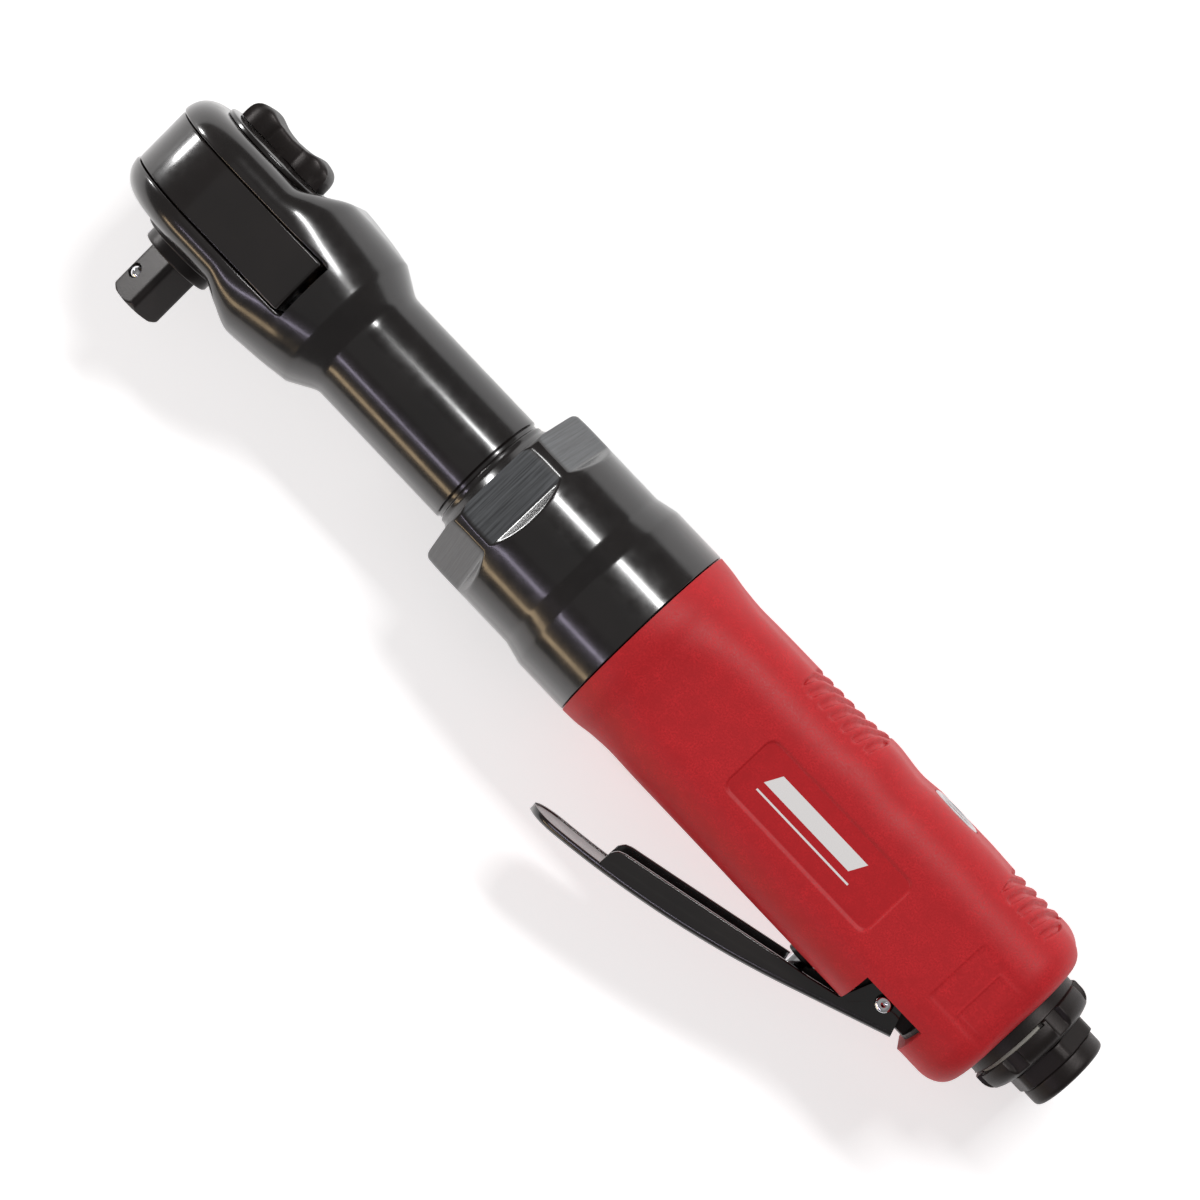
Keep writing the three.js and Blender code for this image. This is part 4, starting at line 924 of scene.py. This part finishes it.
def build_handle_jacket():
    """The jacket's skin, with the label, the tag and the ribbed grips as small moves of the surface,
    then its inner wall, and the openings for the lever, the valve, the dial and the inlet."""
    feature_edges = [162.2, 204.1, 222.0, 228.8, 235.5, 158.4, 179.6, 217, 232]
    base = np.arange(127.5, CAP_FROM, 0.8)
    close = np.concatenate([edge + np.linspace(-0.9, 0.9, 7) for edge in feature_edges])
    grips = np.concatenate([np.arange(158, 180, 0.4), np.arange(216.6, 232.5, 0.4)])
    stations = np.unique(np.round(np.concatenate([base, close, grips]), 2))
    stations = stations[(stations >= 127.5) & (stations < CAP_FROM)]
    skin = jacket_section(stations, 26, 44)
    cap_turn = np.linspace(0, np.pi / 2, 16)
    # The rear closes as a rounded rim: the section shrinks by a quarter ellipse.
    depth = JACKET_HIGH[0] - CAP_FROM
    rear_x = CAP_FROM + depth * np.sin(cap_turn)
    last = jacket_section(np.array([CAP_FROM]), 26, 44)[0]
    centre = np.array([1.15, 0])
    reach = np.linalg.norm(last - centre, axis=1, keepdims=True)
    rear = [last - (last - centre) / reach * CAP_SHRINK * (1 - np.cos(t)) for t in cap_turn]
    skin = np.concatenate([skin, np.stack(rear)])
    stations = np.concatenate([stations, rear_x])
    skin = jacket_relief(stations, skin)
    x = stations[:, None, None] + 0 * skin[..., :1]
    outer = np.concatenate([x, skin], axis=-1)
    bore_ends = [[232.5, JACKET_BORE], [127.5, JACKET_BORE]]
    inner_profile = np.array([[239.3, 12.0], [237.6, 12.0], [237.5, 15.5], *bore_ends])
    direction = (skin[-1] - centre) / np.linalg.norm(skin[-1] - centre, axis=1, keepdims=True)
    inner = np.stack(
        [
            np.concatenate([np.full((len(direction), 1), s), direction * r], axis=-1)
            for s, r in inner_profile
        ]
    )
    on_inlet = (0, INLET_Y, 0)
    cuts = [
        rod_grid(14.85, 236.9, 242, "x", on_inlet, count=96),
        rod_grid(DIAL_HIGH[0] - VALVE_X + 0.25, 10, 26, "y", (VALVE_X, 0, 0), count=72),
        rod_grid(3.65, -26, -10, "y", (VALVE_X, 0, 0), count=48),
        block_grid(POCKET_X, (-30, POCKET_FLAT), (-30, 30)),
        block_grid((189, 212), (-30, -17), (-7.8, 7.8)),
    ]
    grid = np.concatenate([outer, inner])
    patches = [(grid, True, True)]
    jacket = make_piece("grip_jacket", patches, FINISHES["grip"], "handle_jacket", cuts, crease=50)
    x, y, z = vertex_points(jacket).T
    along = (x > LABEL_FROM + LABEL_EDGE) & (x < LABEL_TO - LABEL_EDGE)
    inside = along & (np.abs(y) < LABEL_HALF - 0.35) & (z > 19)
    paint(jacket, "panel", inside.astype(float))


def panel_depth(x, y, middle, half_x, half_y, corner, width):
    """1 inside a rounded rectangle and 0 outside, with an S-shaped step across its edge: the distance
    to a rectangle drawn in by its corner radius, less that radius."""
    dx = np.maximum(np.abs(x - middle[0]) - (half_x - corner), 0)
    dy = np.maximum(np.abs(y - middle[1]) - (half_y - corner), 0)
    return 1 - step_up(np.hypot(dx, dy) - corner, -width / 2, width)


def jacket_relief(stations, skin):
    """Sinks the label panel and the step behind it, raises the tag's frame, and cuts the grips."""
    skin = skin.copy()
    x = stations[:, None] + 0 * skin[..., 0]
    y, z = skin[..., 0], skin[..., 1]
    on_top = step_up(z, 18.6, 0.8)
    label = ((LABEL_FROM + LABEL_TO) / 2, 0)
    label_half = (LABEL_TO - LABEL_FROM) / 2
    sunk = 0.5 * panel_depth(x, y, label, label_half, LABEL_HALF, 2.2, 0.5)
    sunk += 0.18 * step_up(x, 221.9, 0.5) * panel_depth(x, y, (232, 1.5), 10.4, 7.6, 1.5, 0.9)
    frame_out = panel_depth(x, y, (232.1, INLET_Y), 3.5, 6.1, 0.5, 0.3)
    frame_in = panel_depth(x, y, (232.1, INLET_Y), 3.1, 5.7, 0.4, 0.3)
    sunk += -0.16 * (frame_out - frame_in)
    skin[..., 1] -= sunk * on_top
    # The grips stand on the knob side: a sunk panel crossed by slanted ribs.
    over = step_up(y, 16.5, 1.5)
    for start, end in GRIPS:
        panel = panel_depth(x, z, ((start + end) / 2, 0), (end - start) / 2, 15.6, 1.5, 0.5)
        phase = (x + 0.25 * z - start) % 3.25
        rib = step_up(phase, 0.6, 0.6) * (1 - step_up(phase, 2.2, 0.6))
        skin[..., 0] -= over * panel * 0.95 * (1 - rib)
    return skin


# ---------- throttle, regulator, inlet and exhaust ----------


LEVER_CURVE = np.array([[137.8, -43.3], [172.5, -39.8], [203.0, -28.1]])
LEVER_END = np.array([224.4, -20.0])
LEVER_EAR = 5.0
LEVER_WALL_TOP = [(211, -21.5), (204, -23.4), (197, -24.9), (184, -28.0), (170, -31.3), (158.8, -33.9)]
LEVER_SHOULDER = [(157.3, -34.6), (156.1, -36.6)]


def lever_path():
    """The lever's outer line: a quadratic curve from the finger tip, then a straight run to the pin."""
    t = np.linspace(0, 1, 110)[:, None]
    a, b, c = LEVER_CURVE
    curve = (1 - t) ** 2 * a + 2 * t * (1 - t) * b + t**2 * c
    return np.concatenate([curve, np.linspace(c, LEVER_END, 60)[1:]])


def wall_height(path, tangent, inward, wall):
    """How far the side walls stand above the outer line: the furthest point of the walls' inner edge
    (round ears, a gentle curve and a sloping shoulder) that lies straight across from each station."""
    turn = np.radians(np.linspace(-12, 165, 60))
    ears = PIVOT + LEVER_EAR * np.stack([np.cos(turn), np.sin(turn)], axis=-1)
    edge = np.concatenate([ears, LEVER_WALL_TOP, LEVER_SHOULDER])
    gap = dense(edge, 0.04)[None] - path[:, None]
    along = np.sum(gap * tangent[:, None], axis=-1)
    above = np.sum(gap * inward[:, None], axis=-1)
    rise = np.where(np.abs(along) < 0.1, above, 0).max(axis=1)
    return np.maximum(rise, wall + 0.3)


def build_lever():
    """The stamped lever: a channel section carried along the lever's curve, with the walls as tall as
    their inner edge and the finger end rounded in plan."""
    path = lever_path()
    tangent = np.gradient(path, axis=0)
    tangent /= np.linalg.norm(tangent, axis=1, keepdims=True)
    inward = np.stack([-tangent[:, 1], tangent[:, 0]], axis=-1)
    wall, half = 1.5, 7.2
    rise = wall_height(path, tangent, inward, wall)
    reach = np.concatenate([[0], np.cumsum(np.linalg.norm(np.diff(path, axis=0), axis=1))])
    tip = np.clip(reach / half, 0, 1)
    width = half * np.sqrt(np.clip(1 - (1 - tip) ** 2, 0.004, 1))
    grid = channel_rows(path, inward, rise, width, wall)
    hole = rod_grid(2.08, -9, 9, "z", (PIVOT[0], PIVOT[1], 0), count=48)
    make_piece("lever_channel", [(grid, True)], FINISHES["enamel"], "throttle_lever", [hole], crease=40)


def channel_rows(path, inward, rise, width, wall):
    """Rows of a closed U-shaped loop: up the outside of one wall, over its edge, down the inside, across
    the web, and back round the other wall, with round bends between wall and web."""
    bend, edge = 1.7, 0.35
    turn = np.linspace(0, np.pi / 2, 6)[None]
    w, h = width[:, None], rise[:, None]
    bend_here = np.minimum(bend, 0.8 * w)
    inner_bend = np.maximum(bend_here - wall, 0.15)
    inner_w = np.maximum(w - wall - 0.14, 0.3 * w)
    outer = (w - bend_here * (1 - np.sin(turn)), bend_here * (1 - np.cos(turn)))
    fold = 0.14 * np.clip((h - 3.5) / 2, 0, 1)
    ledge_share = np.array([[0.0, 0.1, 0.5, 0.9, 1.0]])
    ledge_rise = np.maximum(0.45 * h, bend_here + 0.1) + np.array([[0.0, 0.25, 0.5, 0.75, 1.0]])
    ledge = (w - fold * ledge_share, np.minimum(ledge_rise, h - edge - 0.01))
    lip = (w - fold - edge * (1 - np.cos(turn)), h - edge * (1 - np.sin(turn)))
    back = (inner_w + edge * (1 - np.sin(turn)), h - edge * (1 - np.cos(turn)))
    floor = np.minimum(wall, h - 0.2)
    heel = (inner_w - inner_bend * (1 - np.cos(turn)), floor + inner_bend * (1 - np.sin(turn)))
    heel_low = np.minimum(heel[1], h - 0.05)
    across = np.concatenate([0 * w, outer[0], ledge[0], lip[0], back[0], heel[0], 0 * w], axis=1)
    above = np.concatenate([0 * w, outer[1], ledge[1], lip[1], back[1], heel_low, floor], axis=1)
    across = np.concatenate([across, -across[:, ::-1][:, 1:-1]], axis=1)
    above = np.concatenate([above, above[:, ::-1][:, 1:-1]], axis=1)
    flat = path[:, None] + inward[:, None] * above[..., None]
    rows = np.concatenate([flat, across[..., None]], axis=-1)
    ends = [np.broadcast_to(rows[k].mean(axis=0), rows[k].shape)[None] for k in (0, -1)]
    return np.concatenate([ends[0], rows, ends[1]])


def build_lever_pin():
    """The lever's pin: a rod with domed ends, each with a small centre dimple."""
    half = PIN_HIGH[2]
    end = [(half - 0.55, 2.0, 0.4), (half - 0.1, 1.5, 0.4), (half, 0.75, 0.1), (half - 0.35, 0, 0)]
    corners = [(-s, r, f) for s, r, f in end[::-1]] + end
    profile = dense(rounded(corners), 0.5)
    grid = turned(profile, full_turn(64), "z", (PIVOT[0], PIVOT[1], 0))
    make_piece("pivot_pin", [(grid, True)], FINISHES["bright"], "lever_pin")


def build_valve():
    """The valve's sleeve below the handle, a stepped tube, and the stem that the lever pushes."""
    low, high = box_mm("valve_bushing")
    sleeve = [
        (low[1], 2.28, 0.1),
        (low[1], 3.35, 0.35),
        (-17.7, 3.35, 0),
        (-17.7, 5.16, 0.1),
        (high[1], 5.16, 0.2),
        (high[1], 2.28, 0.1),
    ]
    at = (VALVE_X, 0, 0)
    grid = turned(dense(rounded(sleeve, True), 0.6), full_turn(72), "y", at)
    make_piece("valve_sleeve", [(grid, True, True)], FINISHES["oxide"], "valve_bushing")
    low, high = box_mm("valve_stem")
    stem = rounded([(low[1], 0, 0), (low[1], 2.2, 0.5), (high[1], 2.2, 0.2), (high[1], 0, 0)])
    grid = turned(dense(stem, 0.6), full_turn(48), "y", at)
    make_piece("valve_rod", [(grid, True)], FINISHES["bright"], "valve_stem")


def build_dial():
    """The regulator: a turned disc with a raised rim and a screwdriver slot, on its grooved spool."""
    low, high = DIAL_LOW, DIAL_HIGH
    radius = high[0] - VALVE_X
    corners = [
        (low[1], 0, 0),
        (low[1], 4.9, 0.2),
        (15.6, 4.9, 0),
        (15.6, 4.1, 0),
        (17.3, 4.1, 0),
        (17.3, 4.9, 0),
        (18.9, 4.9, 0),
        (18.9, radius, 0.2),
        (high[1] - 0.1, radius, 0.5),
        (high[1], radius - 1.1, 0.3),
        (high[1] - 0.35, radius - 1.4, 0.2),
        (high[1] - 0.3, 0, 0),
    ]
    grid = turned(dense(rounded(corners), 0.5), full_turn(96), "y", (VALVE_X, 0, 0))
    slot = block_grid((VALVE_X - 4.4, VALVE_X + 4.4), (high[1] - 1.5, high[1] + 2), (-0.7, 0.7))
    flow = block_grid((VALVE_X - 6, VALVE_X + 6), (low[1] - 1, 14.6), (2.2, 6))
    cuts = [slot, flow]
    make_piece("regulator_disc", [(grid, True)], FINISHES["dial"], "regulator_dial", cuts)


def build_deflector():
    """The exhaust deflector: a cap whose rim swells into seven lobes with grooves between them, open
    behind the handle along part of its edge."""
    start, end = DEFLECTOR_LOW[0], DEFLECTOR_HIGH[0]
    ring, lobe, groove = 13.9, 14.5, 13.3
    profile = rounded(
        [
            (start, 12.8, 0),
            (start, ring, 0.2),
            (242.2, ring, 0.1),
            (242.6, lobe, 0.3),
            (end - 2.6, lobe, 1.2),
            (end - 0.9, lobe - 0.8, 0.9),
            (end, lobe - 2.8, 0.7),
            (end, 8.6, 0.4),
            (end - 1.4, 8.6, 0.2),
            (end - 1.4, 12.8, 0),
        ],
        closed=True,
    )
    profile = dense(profile, 0.35)
    first = math.radians(84.3)

    def lobes(station, reach, angles):
        off = np.abs((angles - first + np.pi / 7) % (2 * np.pi / 7) - np.pi / 7)
        valley = step_up(off, math.radians(16.5), math.radians(3.0))
        outside = (reach > 13.0) & (station > 242.3)
        return np.where(outside, reach - (reach - groove) * valley * (reach > groove), reach)

    grid = turned(profile, full_turn(420), "x", (0, INLET_Y, 0), lobes)
    sector = np.radians(np.linspace(70, 220, 13))
    outline = np.concatenate([[[0, 0]], 30 * np.stack([np.cos(sector), np.sin(sector)], axis=-1)])
    rows = []
    for x, size in ((242.3, 0), (242.3, 1), (243.2, 1), (243.2, 0)):
        points = outline.mean(axis=0) + (outline - outline.mean(axis=0)) * size + [INLET_Y, 0]
        rows.append(np.concatenate([np.full((len(points), 1), x), points], axis=-1))
    cuts = [np.stack(rows)]
    make_piece("deflector_cap", [(grid, True, True)], FINISHES["cast"], "exhaust_deflector", cuts, crease=45)


def build_inlet():
    """The inlet bushing: a round body, a wrench hexagon and a rounded collar, with a threaded socket."""
    start, end = INLET_LOW[0], INLET_HIGH[0]
    hex_from, hex_to = 248.3, 252.0
    threads = []
    for k in range(7):
        threads += [(end - 1.0 - 1.35 * k, 5.95, 0), (end - 1.65 - 1.35 * k, 5.35, 0)]
    outer = [
        (start, 4.2, 0.2),
        (start, 8.0, 0.3),
        (hex_from, 8.0, 0),
        (hex_from, 10.3, 0.4),
        (hex_to, 10.3, 0.3),
        (hex_to, 9.0, 0),
        (hex_to + 0.4, 9.4, 0.2),
        (end, 9.4, 1.3),
        (end, 6.3, 0.4),
    ]
    inner = [*threads, (246.0, 5.4, 0), (246.0, 4.2, 0)]
    profile = dense(rounded([*outer, *inner], closed=True), 0.5)
    inside = lambda s: (s >= hex_from - 0.05) & (s <= hex_to + 0.05)
    limit = lambda station: np.where(inside(station), 9.35, 90.0)
    first = math.radians(12 + 30)
    angles = flat_angles(profile, limit, 6, first)
    grid = turned(profile, angles, "x", (0, INLET_Y, 0), flatted(limit, 6, first, 0.3))
    make_piece("inlet_fitting", [(grid, True, True)], FINISHES["cast"], "inlet_bushing", crease=30)


INNER = {
    "steel": [
        "pawl",
        "pawl_pin",
        "pawl_plunger",
        "pawl_spring",
        "drive_detent_spring",
        "anvil_wave_washer",
        "crankshaft",
        "front_needle_bearing",
        "rear_needle_bearing",
        "bearing_spacer",
        "planet_gear_1",
        "planet_gear_2",
        "planet_gear_3",
        "ring_gear",
        "rotor",
        "motor_cylinder",
        "cylinder_dowel",
        "valve_spring",
    ],
    "bright": [
        "planet_pin_1",
        "planet_pin_2",
        "planet_pin_3",
        "front_ball_bearing",
        "rear_ball_bearing",
        "inlet_screen",
    ],
    "bronze": ["anvil_thrust_washer", "crank_bushing", "planet_washer", "valve_poppet"],
    "alloy": ["front_end_plate", "rear_end_plate"],
    "cast": ["motor_barrel"],
    "vane": ["vane_1", "vane_2", "vane_3", "vane_4", "vane_5"],
    "rubber": ["valve_seat", "regulator_seal"],
    "felt": ["muffler_felt"],
}


# ---------- settings ----------


class AirRatchetColours(bpy.types.PropertyGroup):
    """The colours a user would change."""

    enamel: FloatVectorProperty(
        name="Enamel",
        description="Colour of the head, nut and lever",
        subtype="COLOR",
        size=3,
        default=(0.0075, 0.0055, 0.005),
    )
    grip: FloatVectorProperty(
        name="Grip",
        description="Colour of the handle's jacket",
        subtype="COLOR",
        size=3,
        default=(0.52, 0.017, 0.022),
    )
    steel: FloatVectorProperty(
        name="Steel",
        description="Colour of the ground steel parts",
        subtype="COLOR",
        size=3,
        default=(0.45, 0.46, 0.47),
    )
    floor: FloatVectorProperty(
        name="Floor",
        description="Colour of the floor",
        subtype="COLOR",
        size=3,
        default=(0.86, 0.86, 0.86),
    )


class AirRatchetStage(bpy.types.PropertyGroup):
    """Where the camera stands and how strong the lights are."""

    tilt: FloatProperty(
        name="Tilt",
        description="How far the camera leans towards the reversing knob",
        subtype="ANGLE",
        default=math.radians(6.5),
    )
    distance: FloatProperty(
        name="Distance",
        description="Distance from the tool to the camera",
        unit="LENGTH",
        default=0.65,
    )
    roll: FloatProperty(
        name="Roll",
        description="How far the tool's length runs down to the right in the picture",
        subtype="ANGLE",
        default=math.radians(46.5),
    )
    focal_length: FloatProperty(
        name="Focal length",
        description="Focal length of the camera's lens in millimetres",
        default=92.0,
    )
    key_power: FloatProperty(
        name="Key light",
        description="Power of the main light in watts",
        default=5.0,
    )


class AIRRATCHET_OT_finishes(bpy.types.Operator):
    """Make every finish, and put them on the pieces that keep their CAD shape"""

    bl_idname = "airratchet.finishes"
    bl_label = "Finishes"

    def execute(self, context):
        FINISHES.update(build_finishes(context.scene.air_ratchet_colours))
        for finish, nodes in INNER.items():
            for node in nodes:
                materials = frame["nodes"][node].data.materials
                materials.clear()
                materials.append(FINISHES[finish])
        return {"FINISHED"}


class AIRRATCHET_OT_head(bpy.types.Operator):
    """Make the head, its neck and its flange"""

    bl_idname = "airratchet.head"
    bl_label = "Head"

    def execute(self, context):
        build_housing()
        return {"FINISHED"}


class AIRRATCHET_OT_drive(bpy.types.Operator):
    """Make the yoke, the square drive and its detent ball"""

    bl_idname = "airratchet.drive"
    bl_label = "Drive"

    def execute(self, context):
        build_yoke()
        build_anvil()
        build_ball()
        return {"FINISHED"}


class AIRRATCHET_OT_covers(bpy.types.Operator):
    """Make the anvil's ring, the cover plate and the reversing knob"""

    bl_idname = "airratchet.covers"
    bl_label = "Ring, cover and knob"

    def execute(self, context):
        build_bushing()
        build_knob()
        return {"FINISHED"}


class AIRRATCHET_OT_nut(bpy.types.Operator):
    """Make the clamp nut"""

    bl_idname = "airratchet.nut"
    bl_label = "Clamp nut"

    def execute(self, context):
        build_nut()
        return {"FINISHED"}


class AIRRATCHET_OT_jacket(bpy.types.Operator):
    """Make the handle's jacket"""

    bl_idname = "airratchet.jacket"
    bl_label = "Handle jacket"

    def execute(self, context):
        build_handle_jacket()
        return {"FINISHED"}


class AIRRATCHET_OT_throttle(bpy.types.Operator):
    """Make the lever, its pin, the valve's sleeve and its stem"""

    bl_idname = "airratchet.throttle"
    bl_label = "Throttle"

    def execute(self, context):
        build_lever()
        build_lever_pin()
        build_valve()
        return {"FINISHED"}


class AIRRATCHET_OT_air_end(bpy.types.Operator):
    """Make the regulator, the exhaust deflector and the inlet"""

    bl_idname = "airratchet.air_end"
    bl_label = "Regulator, exhaust and inlet"

    def execute(self, context):
        build_dial()
        build_deflector()
        build_inlet()
        return {"FINISHED"}


class AIRRATCHET_OT_stage(bpy.types.Operator):
    """Make the floor, the lights and the camera"""

    bl_idname = "airratchet.stage"
    bl_label = "Stage"

    def execute(self, context):
        scene = context.scene
        low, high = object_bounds()
        build_floor(low[2], scene.air_ratchet_colours.floor)
        middle = Vector(((low[0] + high[0]) / 2, AXIS_Y * MM, 0))
        build_lights(middle, scene.air_ratchet_stage.key_power)
        build_camera(scene)
        scene.view_settings.view_transform = "Standard"
        return {"FINISHED"}


def build_floor(level, colour):
    """A wide flat floor just below the tool, of one pale paper."""
    size = 3.0
    corners = [(-size, -size, level), (size, -size, level), (size, size, level), (-size, size, level)]
    mesh = bpy.data.meshes.new("floor")
    mesh.from_pydata(corners, [], [(0, 1, 2, 3)])
    floor = bpy.data.objects.new("floor", mesh)
    bpy.context.scene.collection.objects.link(floor)
    nodes = Nodes("pale_paper")
    tone = nodes.noise(nodes.place(), 9, detail=3)
    paper = nodes.mix(nodes.spread(tone, 0, 1), shade(colour, 0.985), shade(colour, 1.0))
    nodes.set(nodes.shader.inputs["Base Color"], paper)
    nodes.shader.inputs["Roughness"].default_value = 0.9
    nodes.shader.inputs["Specular IOR Level"].default_value = 0.1
    nodes.shader.inputs["Emission Color"].default_value = (1, 1, 1, 1)
    nodes.shader.inputs["Emission Strength"].default_value = 0.5
    floor.data.materials.append(nodes.material)
    floor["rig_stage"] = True


def add_light(name, place, target, size, power, colour):
    """A rectangular soft light that faces a point. Its longer side lies along the tool."""
    data = bpy.data.lights.new(name, "AREA")
    data.shape = "RECTANGLE"
    data.size, data.size_y = size
    data.energy = power
    data.color = colour
    light = bpy.data.objects.new(name, data)
    light.location = place
    back = (Vector(place) - target).normalized()
    along = (Vector((1, 0, 0)) - back * back.x).normalized()
    light.rotation_euler = frame_rotation(along, back.cross(along), back)
    bpy.context.scene.collection.objects.link(light)


def frame_rotation(right, up, back):
    """Euler angles of a frame whose axes point right, up and back."""
    return Matrix((right, up, back)).transposed().to_euler()


LIGHTS = [
    ("knob_side_box", (0.13, 0.57, 0.62), (0.34, 0.09), (1, 1, 1), 0.85),
    ("nose_box", (-0.8, 0.0, 0.17), (0.11, 0.14), (1, 1, 1), 0.5),
    ("drive_side_strip", (0.1, -0.56, 0.6), (0.6, 0.05), (0.86, 0.78, 1.0), 0.16),
    ("drive_side_bank", (-0.1, -0.85, 0.3), (0.7, 0.12), (1, 0.74, 0.45), 0.3),
    ("top_bank", (0.1, -0.05, 1.3), (1.2, 1.0), (1, 1, 1), 0.09),
]


def build_lights(middle, key_power):
    """Soft banks of light round the tool, and an even grey surround."""
    for name, place, size, colour, share in LIGHTS:
        add_light(name, place, middle, size, key_power * share, colour)
    world = bpy.data.worlds.new("soft_surround")
    bpy.context.scene.world = world
    world.use_nodes = True
    world.node_tree.nodes["Background"].inputs["Color"].default_value = (1, 1, 1, 1)
    world.node_tree.nodes["Background"].inputs["Strength"].default_value = 0.22


def build_camera(scene):
    """The camera stands above the tool's labelled side, leans towards the knob, and is rolled so that
    the tool's length runs down to the right."""
    stage = scene.air_ratchet_stage
    aim = Vector(CAMERA_AIM) * MM
    lean = stage.tilt
    across, up = stage.distance * math.sin(lean), stage.distance * math.cos(lean)
    place = Vector((CAMERA_X * MM, AXIS_Y * MM + across, up))
    back = (place - aim).normalized()
    along = (Vector((1, 0, 0)) - back * back.x).normalized()
    across = back.cross(along)
    right = along * math.cos(stage.roll) + across * math.sin(stage.roll)
    data = bpy.data.cameras.new("camera")
    data.lens = stage.focal_length
    camera = bpy.data.objects.new("camera", data)
    camera.location = place
    camera.rotation_euler = frame_rotation(right, back.cross(right), back)
    scene.collection.objects.link(camera)
    scene.camera = camera


class AIRRATCHET_PT_panel(bpy.types.Panel):
    """Lists the settings and the building steps"""

    bl_idname = "AIRRATCHET_PT_panel"
    bl_label = "Air Ratchet"
    bl_space_type = "VIEW_3D"
    bl_region_type = "UI"
    bl_category = "Air Ratchet"

    def draw(self, context):
        for group in (context.scene.air_ratchet_colours, context.scene.air_ratchet_stage):
            for name in group.bl_rna.properties.keys():
                if name not in ("rna_type", "name"):
                    self.layout.prop(group, name)
        for step in STEPS:
            self.layout.operator(step.bl_idname)


STEPS = (
    AIRRATCHET_OT_finishes,
    AIRRATCHET_OT_head,
    AIRRATCHET_OT_drive,
    AIRRATCHET_OT_covers,
    AIRRATCHET_OT_nut,
    AIRRATCHET_OT_jacket,
    AIRRATCHET_OT_throttle,
    AIRRATCHET_OT_air_end,
    AIRRATCHET_OT_stage,
)
CLASSES = (AirRatchetColours, AirRatchetStage, *STEPS, AIRRATCHET_PT_panel)


def register():
    for item in CLASSES:
        bpy.utils.register_class(item)
    bpy.types.Scene.air_ratchet_colours = PointerProperty(type=AirRatchetColours)
    bpy.types.Scene.air_ratchet_stage = PointerProperty(type=AirRatchetStage)


def unregister():
    del bpy.types.Scene.air_ratchet_colours
    del bpy.types.Scene.air_ratchet_stage
    for item in reversed(CLASSES):
        bpy.utils.unregister_class(item)


def main():
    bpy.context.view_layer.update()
    register()
    for step in STEPS:
        group, name = step.bl_idname.split(".")
        getattr(getattr(bpy.ops, group), name)()


if __name__ == "__main__":
    main()
